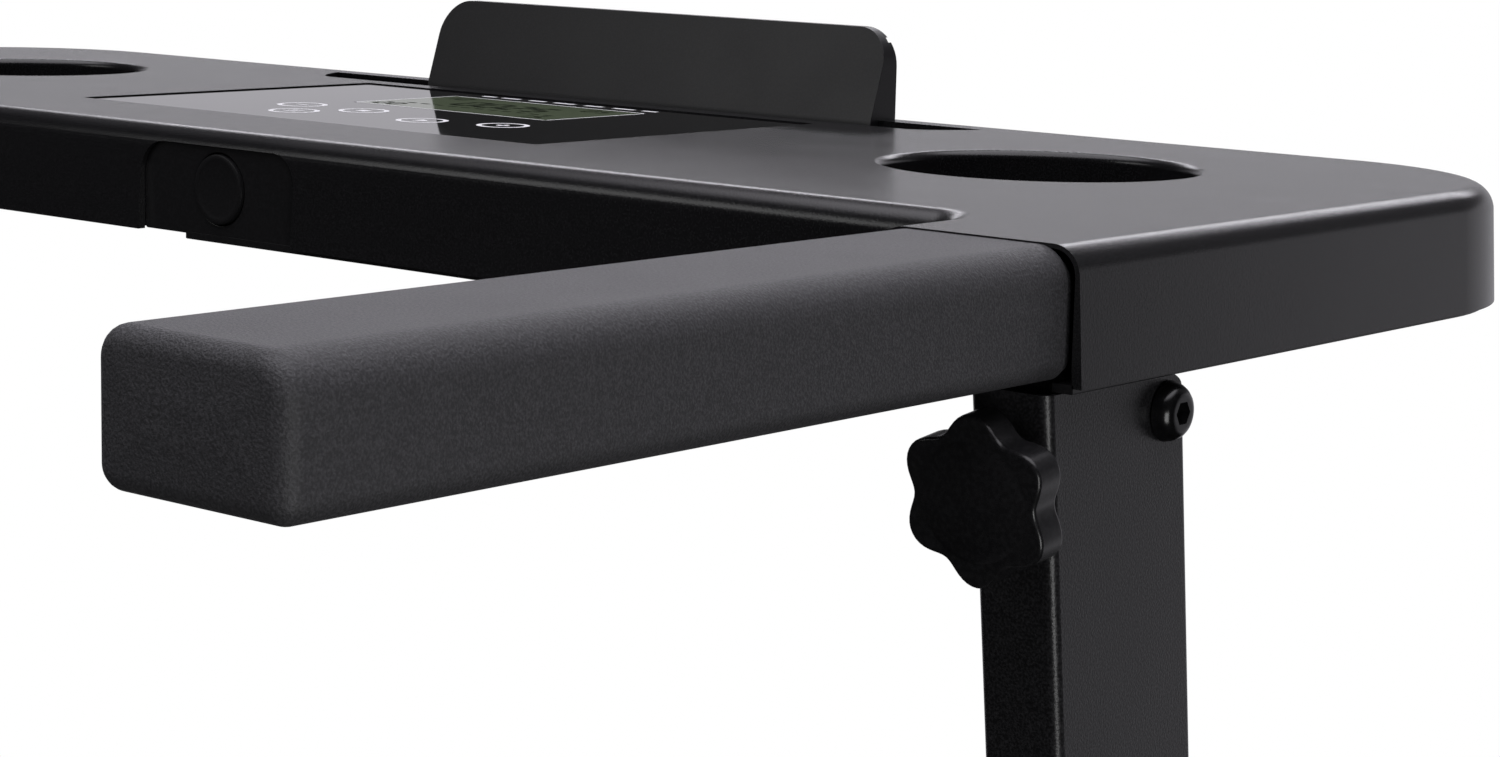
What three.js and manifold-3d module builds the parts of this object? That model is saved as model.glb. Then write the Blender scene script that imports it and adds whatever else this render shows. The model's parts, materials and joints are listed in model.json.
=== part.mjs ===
// A folding home treadmill: a powered deck, two raked uprights and a flat tray console
// with foam handrails. Millimetres. +X is the user's right, +Y the way the user faces,
// +Z up. The origin is on the floor under the middle of the machine.
import * as THREE from "three";
import { mergeVertices } from "three/addons/utils/BufferGeometryUtils.js";
import Module from "manifold-3d";

const wasm = await Module();
wasm.setup();

// ---- Driving dimensions ----

const GAP = 0.3; // left between pieces that touch, press or are welded

// Deck
const DECK_REAR = -630;
const DECK_FRONT = 630;
const RAIL = { inner: 245, outer: 285, bottom: 32, top: 92, wall: 2, round: 4 };
const RAIL_SPAN = [-600, 600];
const CROSSMEMBER = { length: 40, height: 20, wall: 2, round: 3 };
const CROSSMEMBER_REARS = { rear: -520, middle: -90, front: 322 };
const BOARD = { half: 243, thickness: 18, rear: -562, front: 372 };
const BELT = { half: 210, thickness: 1.6 };
const ROLLER = { radius: 21, half: 213, axle: 8, front: 405, rear: -590 };
const BOARD_TOP = RAIL.top + 5;
const ROLLER_Z = BOARD_TOP + 0.4 - ROLLER.radius;
const BELT_TOP = BOARD_TOP + 0.4 + BELT.thickness;
const FOOT_RAIL = { inner: 214, outer: 295, top: 107, wall: 2.5, rear: -597, front: 373 };
const END_CAP = { drop: 4, corner: 14, wall: 3, axleRoom: 12 };
const HOOD = { half: 298, rear: 375, front: 628, bottom: RAIL.top + 2, wall: 2.5 };
const HOOD_HEIGHT = { rearKnee: 120, frontKnee: 136, nose: 142, shoulder: 164, crown: 186 };

// Drive
const PULLEY = { roller: 26, motor: 11, from: -233, to: -221 };
const MOTOR = { y: 535, z: 106, radius: 42, from: -200, to: -40 };
const CONTROLLER = { from: 40, to: 190, rear: 465, front: 575, base: 12, height: 40 };
const FIN = { count: 7, pitch: 20, thickness: 4, inset: 5 };

// Uprights
const RAKE = THREE.MathUtils.degToRad(7);
const UPRIGHT = { width: 21, depth: 54.5, wall: 1.5, round: 2.4, centre: 316.5, tail: 25 };
const BASE_PIVOT = { y: 430, z: 105 };
const BASE_BOLT = 5; // radius

// Console
const CONSOLE = { half: 331, depth: 242, height: 32, top: 1090, wall: 2.5, corner: 66 };
const CONSOLE_EDGE = 7; // rounding of the top edge
const WING = { width: 54, length: 32, fillet: 10 };
const CONSOLE_BOTTOM = CONSOLE.top - CONSOLE.height;

// The console pivots on a bolt near the upright's front face. It lies flat along that face
// when folded, so the bolt is nearer to the face than to the console's underside.
const PIVOT = { toFace: 8.6, toConsole: 8.9, fromRear: 43, bolt: 4 };
const PIVOT_Z = CONSOLE_BOTTOM - PIVOT.toConsole;
const PIVOT_SHIFT = UPRIGHT.depth / 2 - PIVOT.toFace; // off the upright's centre line
const PIVOT_UP = (PIVOT_Z - BASE_PIVOT.z - PIVOT_SHIFT * Math.sin(RAKE)) / Math.cos(RAKE);
const PIVOT_Y = BASE_PIVOT.y + PIVOT_SHIFT * Math.cos(RAKE) - PIVOT_UP * Math.sin(RAKE);
const CONSOLE_REAR = PIVOT_Y - PIVOT.fromRear;
const APRON = CONSOLE_REAR + WING.length;

const CUP = { x: 220, y: CONSOLE_REAR + 146, radius: 42.5, rim: 2.5, depth: 27, wall: 2 };
const LENS = { half: 98.5, from: CONSOLE_REAR + 77, to: CONSOLE_REAR + 200, thickness: 1.2 };
const LCD = { half: 42.5, from: CONSOLE_REAR + 140, to: CONSOLE_REAR + 187 };
const CHANNEL = { half: 142, from: CONSOLE_REAR + 208, to: CONSOLE_REAR + 227, depth: 3 };
const REST = { x: 5, half: 98, foot: CONSOLE_REAR + 223, height: 28.5, back: 13 };
const REST_PLATE = { thickness: 2.5, corner: 12 };
const KEY = { x: 17, z: CONSOLE.top - 16.7, radius: 10, socket: 32 };

const FOAM = { inner: 279, outer: 328, top: 1.3, bottom: 29.6, length: 221, tuck: 3, round: 5 };
const GRIP_TUBE = { width: 38, height: 18, wall: 1.5, end: 75, cap: 6 };
const CROSSBAR = { from: CONSOLE_REAR + 50, to: CONSOLE_REAR + 70, height: 15 };

const KNOB = { radius: 19.6, lobes: 6, lobe: 1.8, thickness: 8.5, hub: 5.5, below: 7.1 };
const WHEEL = { y: 585, z: 32, radius: 28, hub: 16, from: 288, to: 308 };
const FOOT = { x: 265, rear: -555, front: 470, radius: 19, pad: 14, stem: 8 };

// ---- Materials ----

function material(color, roughness, metalness) {
  return new THREE.MeshStandardMaterial({ color, roughness, metalness });
}
const blackPlastic = material(0x2b2a2c, 0.5, 0);
const darkPlastic = material(0x1b1b1d, 0.6, 0);
const glossPanel = material(0x111214, 0.08, 0);
const foamSkin = material(0x2c2b2d, 0.85, 0);
const blackPaint = material(0x262527, 0.45, 0.3);
const zincSteel = material(0xa9abae, 0.35, 0.9);
const blackSteel = material(0x151516, 0.35, 0.8);
const rubber = material(0x161616, 0.85, 0);
const beltFabric = material(0x1a1a1b, 0.75, 0);
const boardWood = material(0x2a2420, 0.5, 0);
const lcdGlass = material(0x5e6b4c, 0.25, 0);
const boardGreen = material(0x1d4a2b, 0.5, 0);
const castMetal = material(0x55585c, 0.5, 0.8);
const redPlastic = material(0x7a1512, 0.35, 0);

// ---- Solids: three.js shapes as closed bodies that can be joined and cut ----

function solid(geometry) {
  const bare = geometry.index ? geometry.toNonIndexed() : geometry.clone();
  bare.deleteAttribute("normal");
  bare.deleteAttribute("uv");
  const merged = mergeVertices(bare, 1e-4);
  return new wasm.Manifold(
    new wasm.Mesh({
      numProp: 3,
      vertProperties: merged.attributes.position.array,
      triVerts: new Uint32Array(merged.index.array),
    }),
  );
}

function geometryOf(body) {
  const mesh = body.getMesh();
  const geometry = new THREE.BufferGeometry();
  geometry.setAttribute("position", new THREE.BufferAttribute(mesh.vertProperties, 3));
  geometry.setIndex(new THREE.BufferAttribute(mesh.triVerts, 1));
  const flat = geometry.toNonIndexed();
  flat.computeVertexNormals();
  return flat;
}

function union(...bodies) {
  return bodies.reduce((sum, body) => sum.add(body));
}

function cut(body, ...tools) {
  return tools.reduce((rest, tool) => rest.subtract(tool), body);
}

const X = new THREE.Vector3(1, 0, 0);
const Y = new THREE.Vector3(0, 1, 0);
const Z = new THREE.Vector3(0, 0, 1);

// An outline is drawn in (y, z) for axis x, in (x, z) for axis y and in (x, y) for axis z.
const DRAWN = {
  x: new THREE.Matrix4().makeBasis(Y, Z, X),
  y: new THREE.Matrix4().makeBasis(X, Z, Y.clone().negate()),
  z: new THREE.Matrix4(),
};

function prism(axis, outline, [from, to], curveSegments = 6) {
  const options = { depth: to - from, bevelEnabled: false, curveSegments };
  const geometry = new THREE.ExtrudeGeometry(outline, options);
  geometry.translate(0, 0, axis === "y" ? -to : from);
  return solid(geometry.applyMatrix4(DRAWN[axis]));
}

const SPUN = {
  x: new THREE.Matrix4().makeBasis(Y, X, Z.clone().negate()),
  y: new THREE.Matrix4(),
  z: new THREE.Matrix4().makeBasis(X, Z, Y.clone().negate()),
};

// A turned piece. The profile is a list of [radius, place along the axis].
function turned(axis, profile, centre, segments = 24) {
  const points = profile.map(([radius, along]) => new THREE.Vector2(radius, along));
  const geometry = new THREE.LatheGeometry(points, segments).applyMatrix4(SPUN[axis]);
  return solid(geometry.translate(...centre));
}

function rod(axis, radius, [from, to], centre, segments = 24) {
  const profile = [[0, from], [radius, from], [radius, to], [0, to]];
  return turned(axis, profile, centre, segments);
}

function box([x0, x1], [y0, y1], [z0, z1]) {
  const geometry = new THREE.BoxGeometry(x1 - x0, y1 - y0, z1 - z0);
  return solid(geometry.translate((x0 + x1) / 2, (y0 + y1) / 2, (z0 + z1) / 2));
}

function polygon(points) {
  return new THREE.Shape(points.map(([a, b]) => new THREE.Vector2(a, b)));
}

function roundedRect([a0, a1], [b0, b1], radius) {
  const quarter = Math.PI / 2;
  const shape = new THREE.Shape();
  shape.absarc(a1 - radius, b0 + radius, radius, -quarter, 0);
  shape.absarc(a1 - radius, b1 - radius, radius, 0, quarter);
  shape.absarc(a0 + radius, b1 - radius, radius, quarter, 2 * quarter);
  shape.absarc(a0 + radius, b0 + radius, radius, 2 * quarter, 3 * quarter);
  return shape;
}

// The outline of a flat belt's face: the common tangents of two circles and their far arcs.
function loopOutline(rear, front, grow) {
  const along = Math.atan2(front.z - rear.z, front.y - rear.y);
  const distance = Math.hypot(front.y - rear.y, front.z - rear.z);
  const lean = Math.acos((rear.radius - front.radius) / distance);
  const shape = new THREE.Shape();
  shape.absarc(front.y, front.z, front.radius + grow, along - lean, along + lean);
  shape.absarc(rear.y, rear.z, rear.radius + grow, along + lean, along - lean + 2 * Math.PI);
  return shape;
}

function beltAround(rear, front, thickness, span, curveSegments) {
  const outer = prism("x", loopOutline(rear, front, GAP + thickness), span, curveSegments);
  const past = [span[0] - 1, span[1] + 1];
  return outer.subtract(prism("x", loopOutline(rear, front, GAP), past, curveSegments));
}

function widened([from, to], by) {
  return [from - by, to + by];
}

function around(centre, half) {
  return [centre - half, centre + half];
}

// ---- The scene graph ----

const treadmill = new THREE.Group();
const deck = new THREE.Group();
const uprights = new THREE.Group();
const consoleGroup = new THREE.Group();
treadmill.add(deck, uprights, consoleGroup);

// The uprights are drawn standing straight on their base pivot and leaned back as one.
uprights.position.set(0, BASE_PIVOT.y, BASE_PIVOT.z);
uprights.rotation.x = RAKE;

function add(group, name, body, finish) {
  const mesh = new THREE.Mesh(geometryOf(body), finish);
  mesh.name = name;
  group.add(mesh);
  return mesh;
}

// A piece drawn on the right, and its mirror image on the left.
function addPair(group, name, body, finish) {
  add(group, `right_${name}`, body, finish);
  add(group, `left_${name}`, body, finish).scale.x = -1;
}

// ---- Deck frame ----

function frameRail() {
  const across = [RAIL.inner, RAIL.outer];
  const up = [RAIL.bottom, RAIL.top];
  const outline = roundedRect(across, up, RAIL.round);
  const hole = [widened(across, -RAIL.wall), widened(up, -RAIL.wall)];
  outline.holes.push(roundedRect(...hole, RAIL.round - RAIL.wall));
  return prism("y", outline, RAIL_SPAN, 2);
}

const BOARD_BOTTOM = BOARD_TOP - BOARD.thickness;

// A rectangular tube between the rails, under the board.
function crossmember(rear) {
  const { length, height, wall, round } = CROSSMEMBER;
  const along = [rear, rear + length];
  const up = [BOARD_BOTTOM - GAP - height, BOARD_BOTTOM - GAP];
  const outline = roundedRect(along, up, round);
  outline.holes.push(roundedRect(widened(along, -wall), widened(up, -wall), round - wall));
  return prism("x", outline, [GAP - RAIL.inner, RAIL.inner - GAP], 2);
}

addPair(deck, "frame_rail", frameRail(), blackPaint);

for (const [name, rear] of Object.entries(CROSSMEMBER_REARS)) {
  add(deck, `${name}_crossmember`, crossmember(rear), blackPaint);
}

const boardSpan = [BOARD.rear, BOARD.front];
const runningDeck = box(around(0, BOARD.half), boardSpan, [BOARD_BOTTOM, BOARD_TOP]);
add(deck, "running_deck", runningDeck, boardWood);

// A channel of plastic over each rail, with a rib that stands on the rail.
function footRail() {
  const { inner, outer, top, wall } = FOOT_RAIL;
  const under = top - wall;
  const rib = (RAIL.inner + RAIL.outer) / 2;
  const skirt = RAIL.top - 14;
  const outline = polygon([
    [inner, BOARD_TOP + GAP],
    [inner + wall, BOARD_TOP + GAP],
    [inner + wall, under],
    [rib - wall, under],
    [rib - wall, RAIL.top + GAP],
    [rib + wall, RAIL.top + GAP],
    [rib + wall, under],
    [outer - wall, under],
    [outer - wall, skirt],
    [outer, skirt],
    [outer, top - 4],
    [outer - 4, top],
    [inner + 2, top],
    [inner, top - 2],
  ]);
  return prism("y", outline, [FOOT_RAIL.rear, FOOT_RAIL.front]);
}
addPair(deck, "foot_rail", footRail(), darkPlastic);

// A cap over each rail's rear end, hollow towards the front.
function rearEndCap() {
  const { drop, corner, wall, axleRoom } = END_CAP;
  const mouth = FOOT_RAIL.rear - GAP;
  const across = [FOOT_RAIL.inner, FOOT_RAIL.outer];
  const up = [RAIL.bottom - drop, FOOT_RAIL.top];
  const outside = prism("z", roundedRect(across, [DECK_REAR, 0], corner), up, 4);
  return cut(
    outside,
    box(widened(across, 1), [mouth, 1], widened(up, 1)),
    box(widened(across, -wall), [DECK_REAR + wall, mouth + 1], widened(up, -wall)),
    box([0, RAIL.inner - GAP], [ROLLER.rear - axleRoom, 0], around(ROLLER_Z, axleRoom)),
  );
}
addPair(deck, "rear_end_cap", rearEndCap(), darkPlastic);

function rubberFoot(y) {
  const profile = [
    [0, 0],
    [FOOT.radius, 0],
    [FOOT.radius - 3, FOOT.pad],
    [FOOT.stem, FOOT.pad + 2],
    [FOOT.stem, RAIL.bottom - GAP],
    [0, RAIL.bottom - GAP],
  ];
  return turned("z", profile, [FOOT.x, y, 0], 20);
}
addPair(deck, "rear_foot", rubberFoot(FOOT.rear), rubber);
addPair(deck, "front_foot", rubberFoot(FOOT.front), rubber);

// ---- Rollers and running belt ----

// A crowned drum on two bearings, bored through for its fixed axle.
function roller(y) {
  const { radius, half, axle } = ROLLER;
  const taper = 60;
  const profile = [
    [axle + GAP, -half],
    [radius - 1, -half],
    [radius, taper - half],
    [radius, half - taper],
    [radius - 1, half],
    [axle + GAP, half],
    [axle + GAP, -half],
  ];
  return turned("x", profile, [0, y, ROLLER_Z], 28);
}

function rollerAxle(y) {
  return rod("x", ROLLER.axle, [GAP - RAIL.inner, RAIL.inner - GAP], [0, y, ROLLER_Z], 16);
}

add(deck, "front_roller", roller(ROLLER.front), zincSteel);
add(deck, "front_axle", rollerAxle(ROLLER.front), blackSteel);
add(deck, "rear_roller", roller(ROLLER.rear), zincSteel);
add(deck, "rear_axle", rollerAxle(ROLLER.rear), blackSteel);

const beltRear = { y: ROLLER.rear, z: ROLLER_Z, radius: ROLLER.radius };
const beltFront = { y: ROLLER.front, z: ROLLER_Z, radius: ROLLER.radius };
const runningBelt = beltAround(
  beltRear, beltFront, BELT.thickness, around(0, BELT.half), 12,
);
add(deck, "running_belt", runningBelt, beltFabric);

// ---- Drive ----

function rollerPulley() {
  const { roller: radius, from, to } = PULLEY;
  const bore = ROLLER.axle + GAP;
  const hub = 14;
  const profile = [
    [bore, from],
    [radius, from],
    [radius, to],
    [hub, to],
    [hub, -ROLLER.half - GAP],
    [bore, -ROLLER.half - GAP],
    [bore, from],
  ];
  return turned("x", profile, [0, ROLLER.front, ROLLER_Z], 28);
}
add(deck, "roller_pulley", rollerPulley(), castMetal);

const SHAFT = { radius: 6, intoMotor: 25 };
const FLYWHEEL = { radius: 38, from: -218, to: -206 };

// Pulley, flywheel and shaft turn as one. The shaft runs into the motor's case.
function motorRotor() {
  const profile = [
    [0, PULLEY.from - 3],
    [SHAFT.radius, PULLEY.from - 3],
    [SHAFT.radius, PULLEY.from],
    [PULLEY.motor, PULLEY.from],
    [PULLEY.motor, FLYWHEEL.from],
    [FLYWHEEL.radius, FLYWHEEL.from],
    [FLYWHEEL.radius, FLYWHEEL.to],
    [SHAFT.radius, FLYWHEEL.to],
    [SHAFT.radius, MOTOR.from + SHAFT.intoMotor],
    [0, MOTOR.from + SHAFT.intoMotor],
  ];
  return turned("x", profile, [0, MOTOR.y, MOTOR.z], 28);
}
add(deck, "motor_rotor", motorRotor(), castMetal);

const TRAY = { thickness: 3, rear: 436, front: 590, edge: 12 };
const TRAY_TOP = RAIL.bottom + 2 + TRAY.thickness;

function driveMotor() {
  const span = [MOTOR.from, MOTOR.to];
  const can = rod("x", MOTOR.radius, span, [0, MOTOR.y, MOTOR.z], 28);
  const saddle = box(
    widened(span, -25),
    around(MOTOR.y, MOTOR.radius - 4),
    [TRAY_TOP + GAP, MOTOR.z - MOTOR.radius / 2],
  );
  const bore = [MOTOR.from - 1, MOTOR.from + SHAFT.intoMotor + 1];
  const shaftHole = rod("x", SHAFT.radius + GAP, bore, [0, MOTOR.y, MOTOR.z], 20);
  return cut(can.add(saddle), shaftHole);
}
add(deck, "drive_motor", driveMotor(), blackSteel);

const driveRear = { y: ROLLER.front, z: ROLLER_Z, radius: PULLEY.roller };
const driveFront = { y: MOTOR.y, z: MOTOR.z, radius: PULLEY.motor };
const driveSpan = [PULLEY.from + 1, PULLEY.to - 1];
add(deck, "drive_belt", beltAround(driveRear, driveFront, 2.5, driveSpan, 10), rubber);

// The tray closes the frame under the motor. Its turned-up edges meet the rails.
function motorTray() {
  const { thickness, rear, front, edge } = TRAY;
  const across = around(0, RAIL.inner - GAP);
  const floor = TRAY_TOP - thickness;
  const plate = box(across, [rear, front], [floor, TRAY_TOP]);
  const turnUp = (from) => box(across, [from, from + thickness], [floor, TRAY_TOP + edge]);
  return union(plate, turnUp(rear), turnUp(front - thickness));
}
add(deck, "motor_tray", motorTray(), blackPaint);

// A finned heat sink with the power board's cover on it.
function motorController() {
  const { from, to, rear, front, base, height } = CONTROLLER;
  const bottom = TRAY_TOP + GAP;
  const bodies = [box([from, to], [rear, front], [bottom, bottom + base])];
  const finSpan = [rear + FIN.inset, front - FIN.inset];
  const firstFin = (from + to) / 2 - ((FIN.count - 1) / 2) * FIN.pitch;
  for (let i = 0; i < FIN.count; i++) {
    const across = around(firstFin + i * FIN.pitch, FIN.thickness / 2);
    bodies.push(box(across, finSpan, [bottom + base - 2, bottom + height]));
  }
  return union(...bodies);
}
add(deck, "motor_controller", motorController(), castMetal);

// ---- Motor hood, power inlet and switch ----

// The power panel: its middle, half width and half height, and the depth behind its face.
const POWER = { x: 190, z: 122, half: 42, rise: 15, depth: 24 };
const INLET = { x: POWER.x + 17, half: 12, rise: 8, depth: 16 };
const INLET_PINS = [[-7, -1], [0, 2], [7, -1]]; // from the inlet's middle
const ROCKER = { x: POWER.x - 24, half: 8.5, rise: 6.5, depth: 8 };

function hoodOutline(inset) {
  const { rearKnee, frontKnee, nose, shoulder, crown } = HOOD_HEIGHT;
  return polygon([
    [HOOD.rear + inset, HOOD.bottom - inset],
    [HOOD.rear + inset, rearKnee],
    [HOOD.rear + 16 + inset, shoulder - inset],
    [HOOD.rear + 45, crown - 6 - inset],
    [HOOD.rear + 95, crown - inset],
    [HOOD.rear + 150, crown - 3 - inset],
    [HOOD.front - 42, shoulder - inset],
    [HOOD.front - 10 - inset, nose - inset],
    [HOOD.front - inset, frontKnee],
    [HOOD.front - inset, HOOD.bottom - inset],
  ]);
}

// A shell open below, with a slot over the running belt and a window for the power panel.
function motorHood() {
  const slot = around(0, BELT.half + 6);
  const slotTop = FOOT_RAIL.top + 5;
  const windowUp = around(POWER.z, POWER.rise - 3);
  return cut(
    prism("x", hoodOutline(0), around(0, HOOD.half)),
    prism("x", hoodOutline(HOOD.wall), around(0, HOOD.half - HOOD.wall)),
    box(slot, [HOOD.rear - 1, HOOD.rear + 12], [HOOD.bottom - 1, slotTop]),
    box(around(POWER.x, POWER.half - 3), around(HOOD.front, 5), windowUp),
  );
}
add(deck, "motor_hood", motorHood(), blackPlastic);

// A panel with a three-pin appliance inlet and an opening for the rocker switch.
function powerPanel() {
  const face = HOOD.front + GAP;
  const outline = roundedRect(
    around(POWER.x, POWER.half), around(POWER.z, POWER.rise - 1), 3,
  );
  const flange = prism("y", outline, [face, DECK_FRONT], 3);
  const body = box(
    around(POWER.x, POWER.half - 3.5),
    [face - POWER.depth, DECK_FRONT - 0.5],
    around(POWER.z, POWER.rise - 3.5),
  );
  const mouth = roundedRect(around(INLET.x, INLET.half), around(POWER.z, INLET.rise), 2);
  const socket = prism("y", mouth, [face - INLET.depth, DECK_FRONT + 1], 3);
  const pins = INLET_PINS.map(([across, up]) =>
    box(
      around(INLET.x + across, 1),
      [face - INLET.depth - 1, face - 3],
      around(POWER.z + up, 2),
    ),
  );
  const switchWell = box(
    around(ROCKER.x, ROCKER.half + 1.5),
    [face - 2 * ROCKER.depth, DECK_FRONT + 1],
    around(POWER.z, ROCKER.rise + 1.5),
  );
  return union(cut(flange.add(body), socket, switchWell), ...pins);
}
add(deck, "power_panel", powerPanel(), darkPlastic);

// The rocker tips about a pin along Z. Its face is a shallow V.
function powerRocker() {
  const face = HOOD.front;
  const [off, on] = around(ROCKER.x, ROCKER.half);
  const outline = polygon([
    [off, face - ROCKER.depth],
    [on, face - ROCKER.depth],
    [on, face - 2.2],
    [ROCKER.x, face - 0.5],
    [off, face + 1.4],
  ]);
  return prism("z", outline, around(POWER.z, ROCKER.rise));
}
add(deck, "power_rocker", powerRocker(), redPlastic);

// ---- Upright brackets, base bolts and transport wheels ----

const EAR = { thickness: 4, clearance: 1, half: 34, drop: 44 };
const earInner = UPRIGHT.centre - UPRIGHT.width / 2 - EAR.clearance - EAR.thickness;
const earOuter = UPRIGHT.centre + UPRIGHT.width / 2 + EAR.clearance + EAR.thickness;
const LOCK_UP = 42; // the base knob's height above the base pivot, along the upright
const lockKnobY = BASE_PIVOT.y - LOCK_UP * Math.sin(RAKE);
const lockKnobZ = BASE_PIVOT.z + LOCK_UP * Math.cos(RAKE);

// A channel standing on its floor beside the rail. The upright turns between its two ears.
function uprightBracket() {
  const { y, z } = BASE_PIVOT;
  const floor = z - EAR.drop;
  const shoulder = z + 8;
  const crest = lockKnobZ + 14;
  const ear = polygon([
    [y - EAR.half, floor],
    [y + EAR.half, floor],
    [y + EAR.half, shoulder],
    [lockKnobY + 15, crest],
    [lockKnobY - 15, crest],
    [y - EAR.half, shoulder],
  ]);
  const across = [earInner, earOuter];
  const channel = cut(
    prism("x", ear, across),
    box(
      widened(across, -EAR.thickness),
      around(y, EAR.half + 20),
      [floor + EAR.thickness, crest + 1],
    ),
  );
  const armAcross = [RAIL.outer + GAP, earInner + 1];
  const arm = box(armAcross, around(y, EAR.half - 4), [floor, RAIL.top - 4]);
  const past = [earInner - 1, earOuter + 1];
  return cut(
    channel.add(arm),
    rod("x", BASE_BOLT + GAP, past, [0, y, z], 16),
    rod("x", PIVOT.bolt + GAP, [UPRIGHT.centre, past[1]], [0, lockKnobY, lockKnobZ], 16),
  );
}
addPair(deck, "upright_bracket", uprightBracket(), blackPaint);

// A bolt along X: a domed head outside and a shank with a nut on its inner end.
function boltX(radius, head, [nutFrom, nutTo], seat, y, z) {
  const profile = [
    [0, nutFrom],
    [radius * 1.6, nutFrom],
    [radius * 1.6, nutTo],
    [radius, nutTo],
    [radius, seat],
    [head.radius, seat],
    [head.radius, seat + head.height * 0.35],
    [head.radius * 0.7, seat + head.height * 0.9],
    [radius * 0.62, seat + head.height],
    [radius * 0.62, seat + head.height * 0.3],
    [0, seat + head.height * 0.3],
  ];
  return turned("x", profile, [0, y, z], 18);
}

const baseHead = { radius: 9, height: 5 };
const baseNut = [earInner - 1.5, earInner - GAP];
const baseBolt = boltX(
  BASE_BOLT, baseHead, baseNut, earOuter + GAP, BASE_PIVOT.y, BASE_PIVOT.z,
);
addPair(deck, "base_bolt", baseBolt, blackSteel);

function transportWheel() {
  const { radius, from, to, hub } = WHEEL;
  const bore = BASE_BOLT + GAP;
  const profile = [
    [bore, from],
    [hub, from],
    [hub + 2, from + 3],
    [radius - 4, from + 3],
    [radius - 2, from],
    [radius, from + 3],
    [radius, to - 3],
    [radius - 2, to],
    [radius - 4, to - 3],
    [hub + 2, to - 3],
    [hub, to],
    [bore, to],
    [bore, from],
  ];
  return turned("x", profile, [0, WHEEL.y, WHEEL.z], 28);
}
addPair(deck, "transport_wheel", transportWheel(), rubber);

function wheelBolt() {
  const profile = [
    [0, RAIL.outer + GAP],
    [9, RAIL.outer + GAP],
    [9, WHEEL.from - GAP],
    [BASE_BOLT, WHEEL.from - GAP],
    [BASE_BOLT, WHEEL.to + GAP],
    [9, WHEEL.to + GAP],
    [7, WHEEL.to + 4],
    [0, WHEEL.to + 4],
  ];
  return turned("x", profile, [0, WHEEL.y, WHEEL.z], 18);
}
addPair(deck, "wheel_bolt", wheelBolt(), zincSteel);

// ---- Uprights and their clamp knobs, in the leaned group ----

// A rectangular tube. Its top is cut level with the floor, and its front top corner is
// round about the console's pivot, so the console's underside can pass over it.
function upright() {
  const across = around(UPRIGHT.centre, UPRIGHT.width / 2);
  const along = around(0, UPRIGHT.depth / 2);
  const outline = roundedRect(across, along, UPRIGHT.round);
  const hole = [widened(across, -UPRIGHT.wall), widened(along, -UPRIGHT.wall)];
  outline.holes.push(roundedRect(...hole, UPRIGHT.round - UPRIGHT.wall));
  const tube = prism("z", outline, [-UPRIGHT.tail, PIVOT_UP + 40], 3);
  const overTop = new THREE.BoxGeometry(40, 200, 100);
  overTop.translate(0, 0, PIVOT.toFace + 50);
  overTop.rotateX(-RAKE).translate(UPRIGHT.centre, PIVOT_SHIFT, PIVOT_UP);
  const pivotAt = [0, PIVOT_SHIFT, PIVOT_UP];
  const cornerBlock = box(
    widened(across, 5),
    [PIVOT_SHIFT, PIVOT_SHIFT + 30],
    [PIVOT_UP, PIVOT_UP + 30],
  );
  const corner = cut(cornerBlock, rod("x", PIVOT.toFace, widened(across, 6), pivotAt, 40));
  const past = widened(across, 1);
  const stud = rod(
    "y", PIVOT.bolt + GAP, [-40, 0], [UPRIGHT.centre, 0, PIVOT_UP - KNOB.below], 16,
  );
  return cut(
    tube,
    solid(overTop),
    corner,
    rod("x", PIVOT.bolt + GAP, past, pivotAt, 16),
    rod("x", BASE_BOLT + GAP, past, [0, 0, 0], 16),
    stud,
  );
}
addPair(uprights, "upright", upright(), blackPaint);

const pivotHead = { radius: 7, height: 4.4 };
const uprightInner = UPRIGHT.centre - UPRIGHT.width / 2;
const pivotBolt = boltX(
  PIVOT.bolt,
  pivotHead,
  [uprightInner - 7, uprightInner - GAP],
  UPRIGHT.centre + UPRIGHT.width / 2 + GAP,
  PIVOT_SHIFT,
  PIVOT_UP,
);
addPair(uprights, "console_bolt", pivotBolt, blackSteel);

// A star grip: the outline's radius waves once for each lobe.
function starOutline() {
  const middle = KNOB.radius - KNOB.lobe;
  const steps = KNOB.lobes * 8;
  const points = [];
  for (let i = 0; i < steps; i++) {
    const angle = (i / steps) * 2 * Math.PI;
    const radius = middle + KNOB.lobe * Math.cos(KNOB.lobes * angle);
    points.push([radius * Math.cos(angle), radius * Math.sin(angle)]);
  }
  return polygon(points);
}

// A star knob and its stud along +Z, with the seat of its hub at z = 0.
function starKnob(studLength) {
  const { hub, thickness } = KNOB;
  const cap = hub + thickness;
  const profile = [
    [0, -studLength],
    [PIVOT.bolt, -studLength],
    [PIVOT.bolt, 0],
    [9, 0],
    [11, hub + 1],
    [13, hub + 1],
    [13, cap],
    [8, cap + 1.2],
    [0, cap + 1.6],
  ];
  const core = turned("z", profile, [0, 0, 0], 24);
  return core.add(prism("z", starOutline(), [hub, cap]));
}

function addKnobs(group, name, knob, place) {
  for (const [side, x] of [["right", 1], ["left", -1]]) {
    const mesh = add(group, `${side}_${name}`, knob, darkPlastic);
    place(mesh, x);
  }
}

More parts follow.
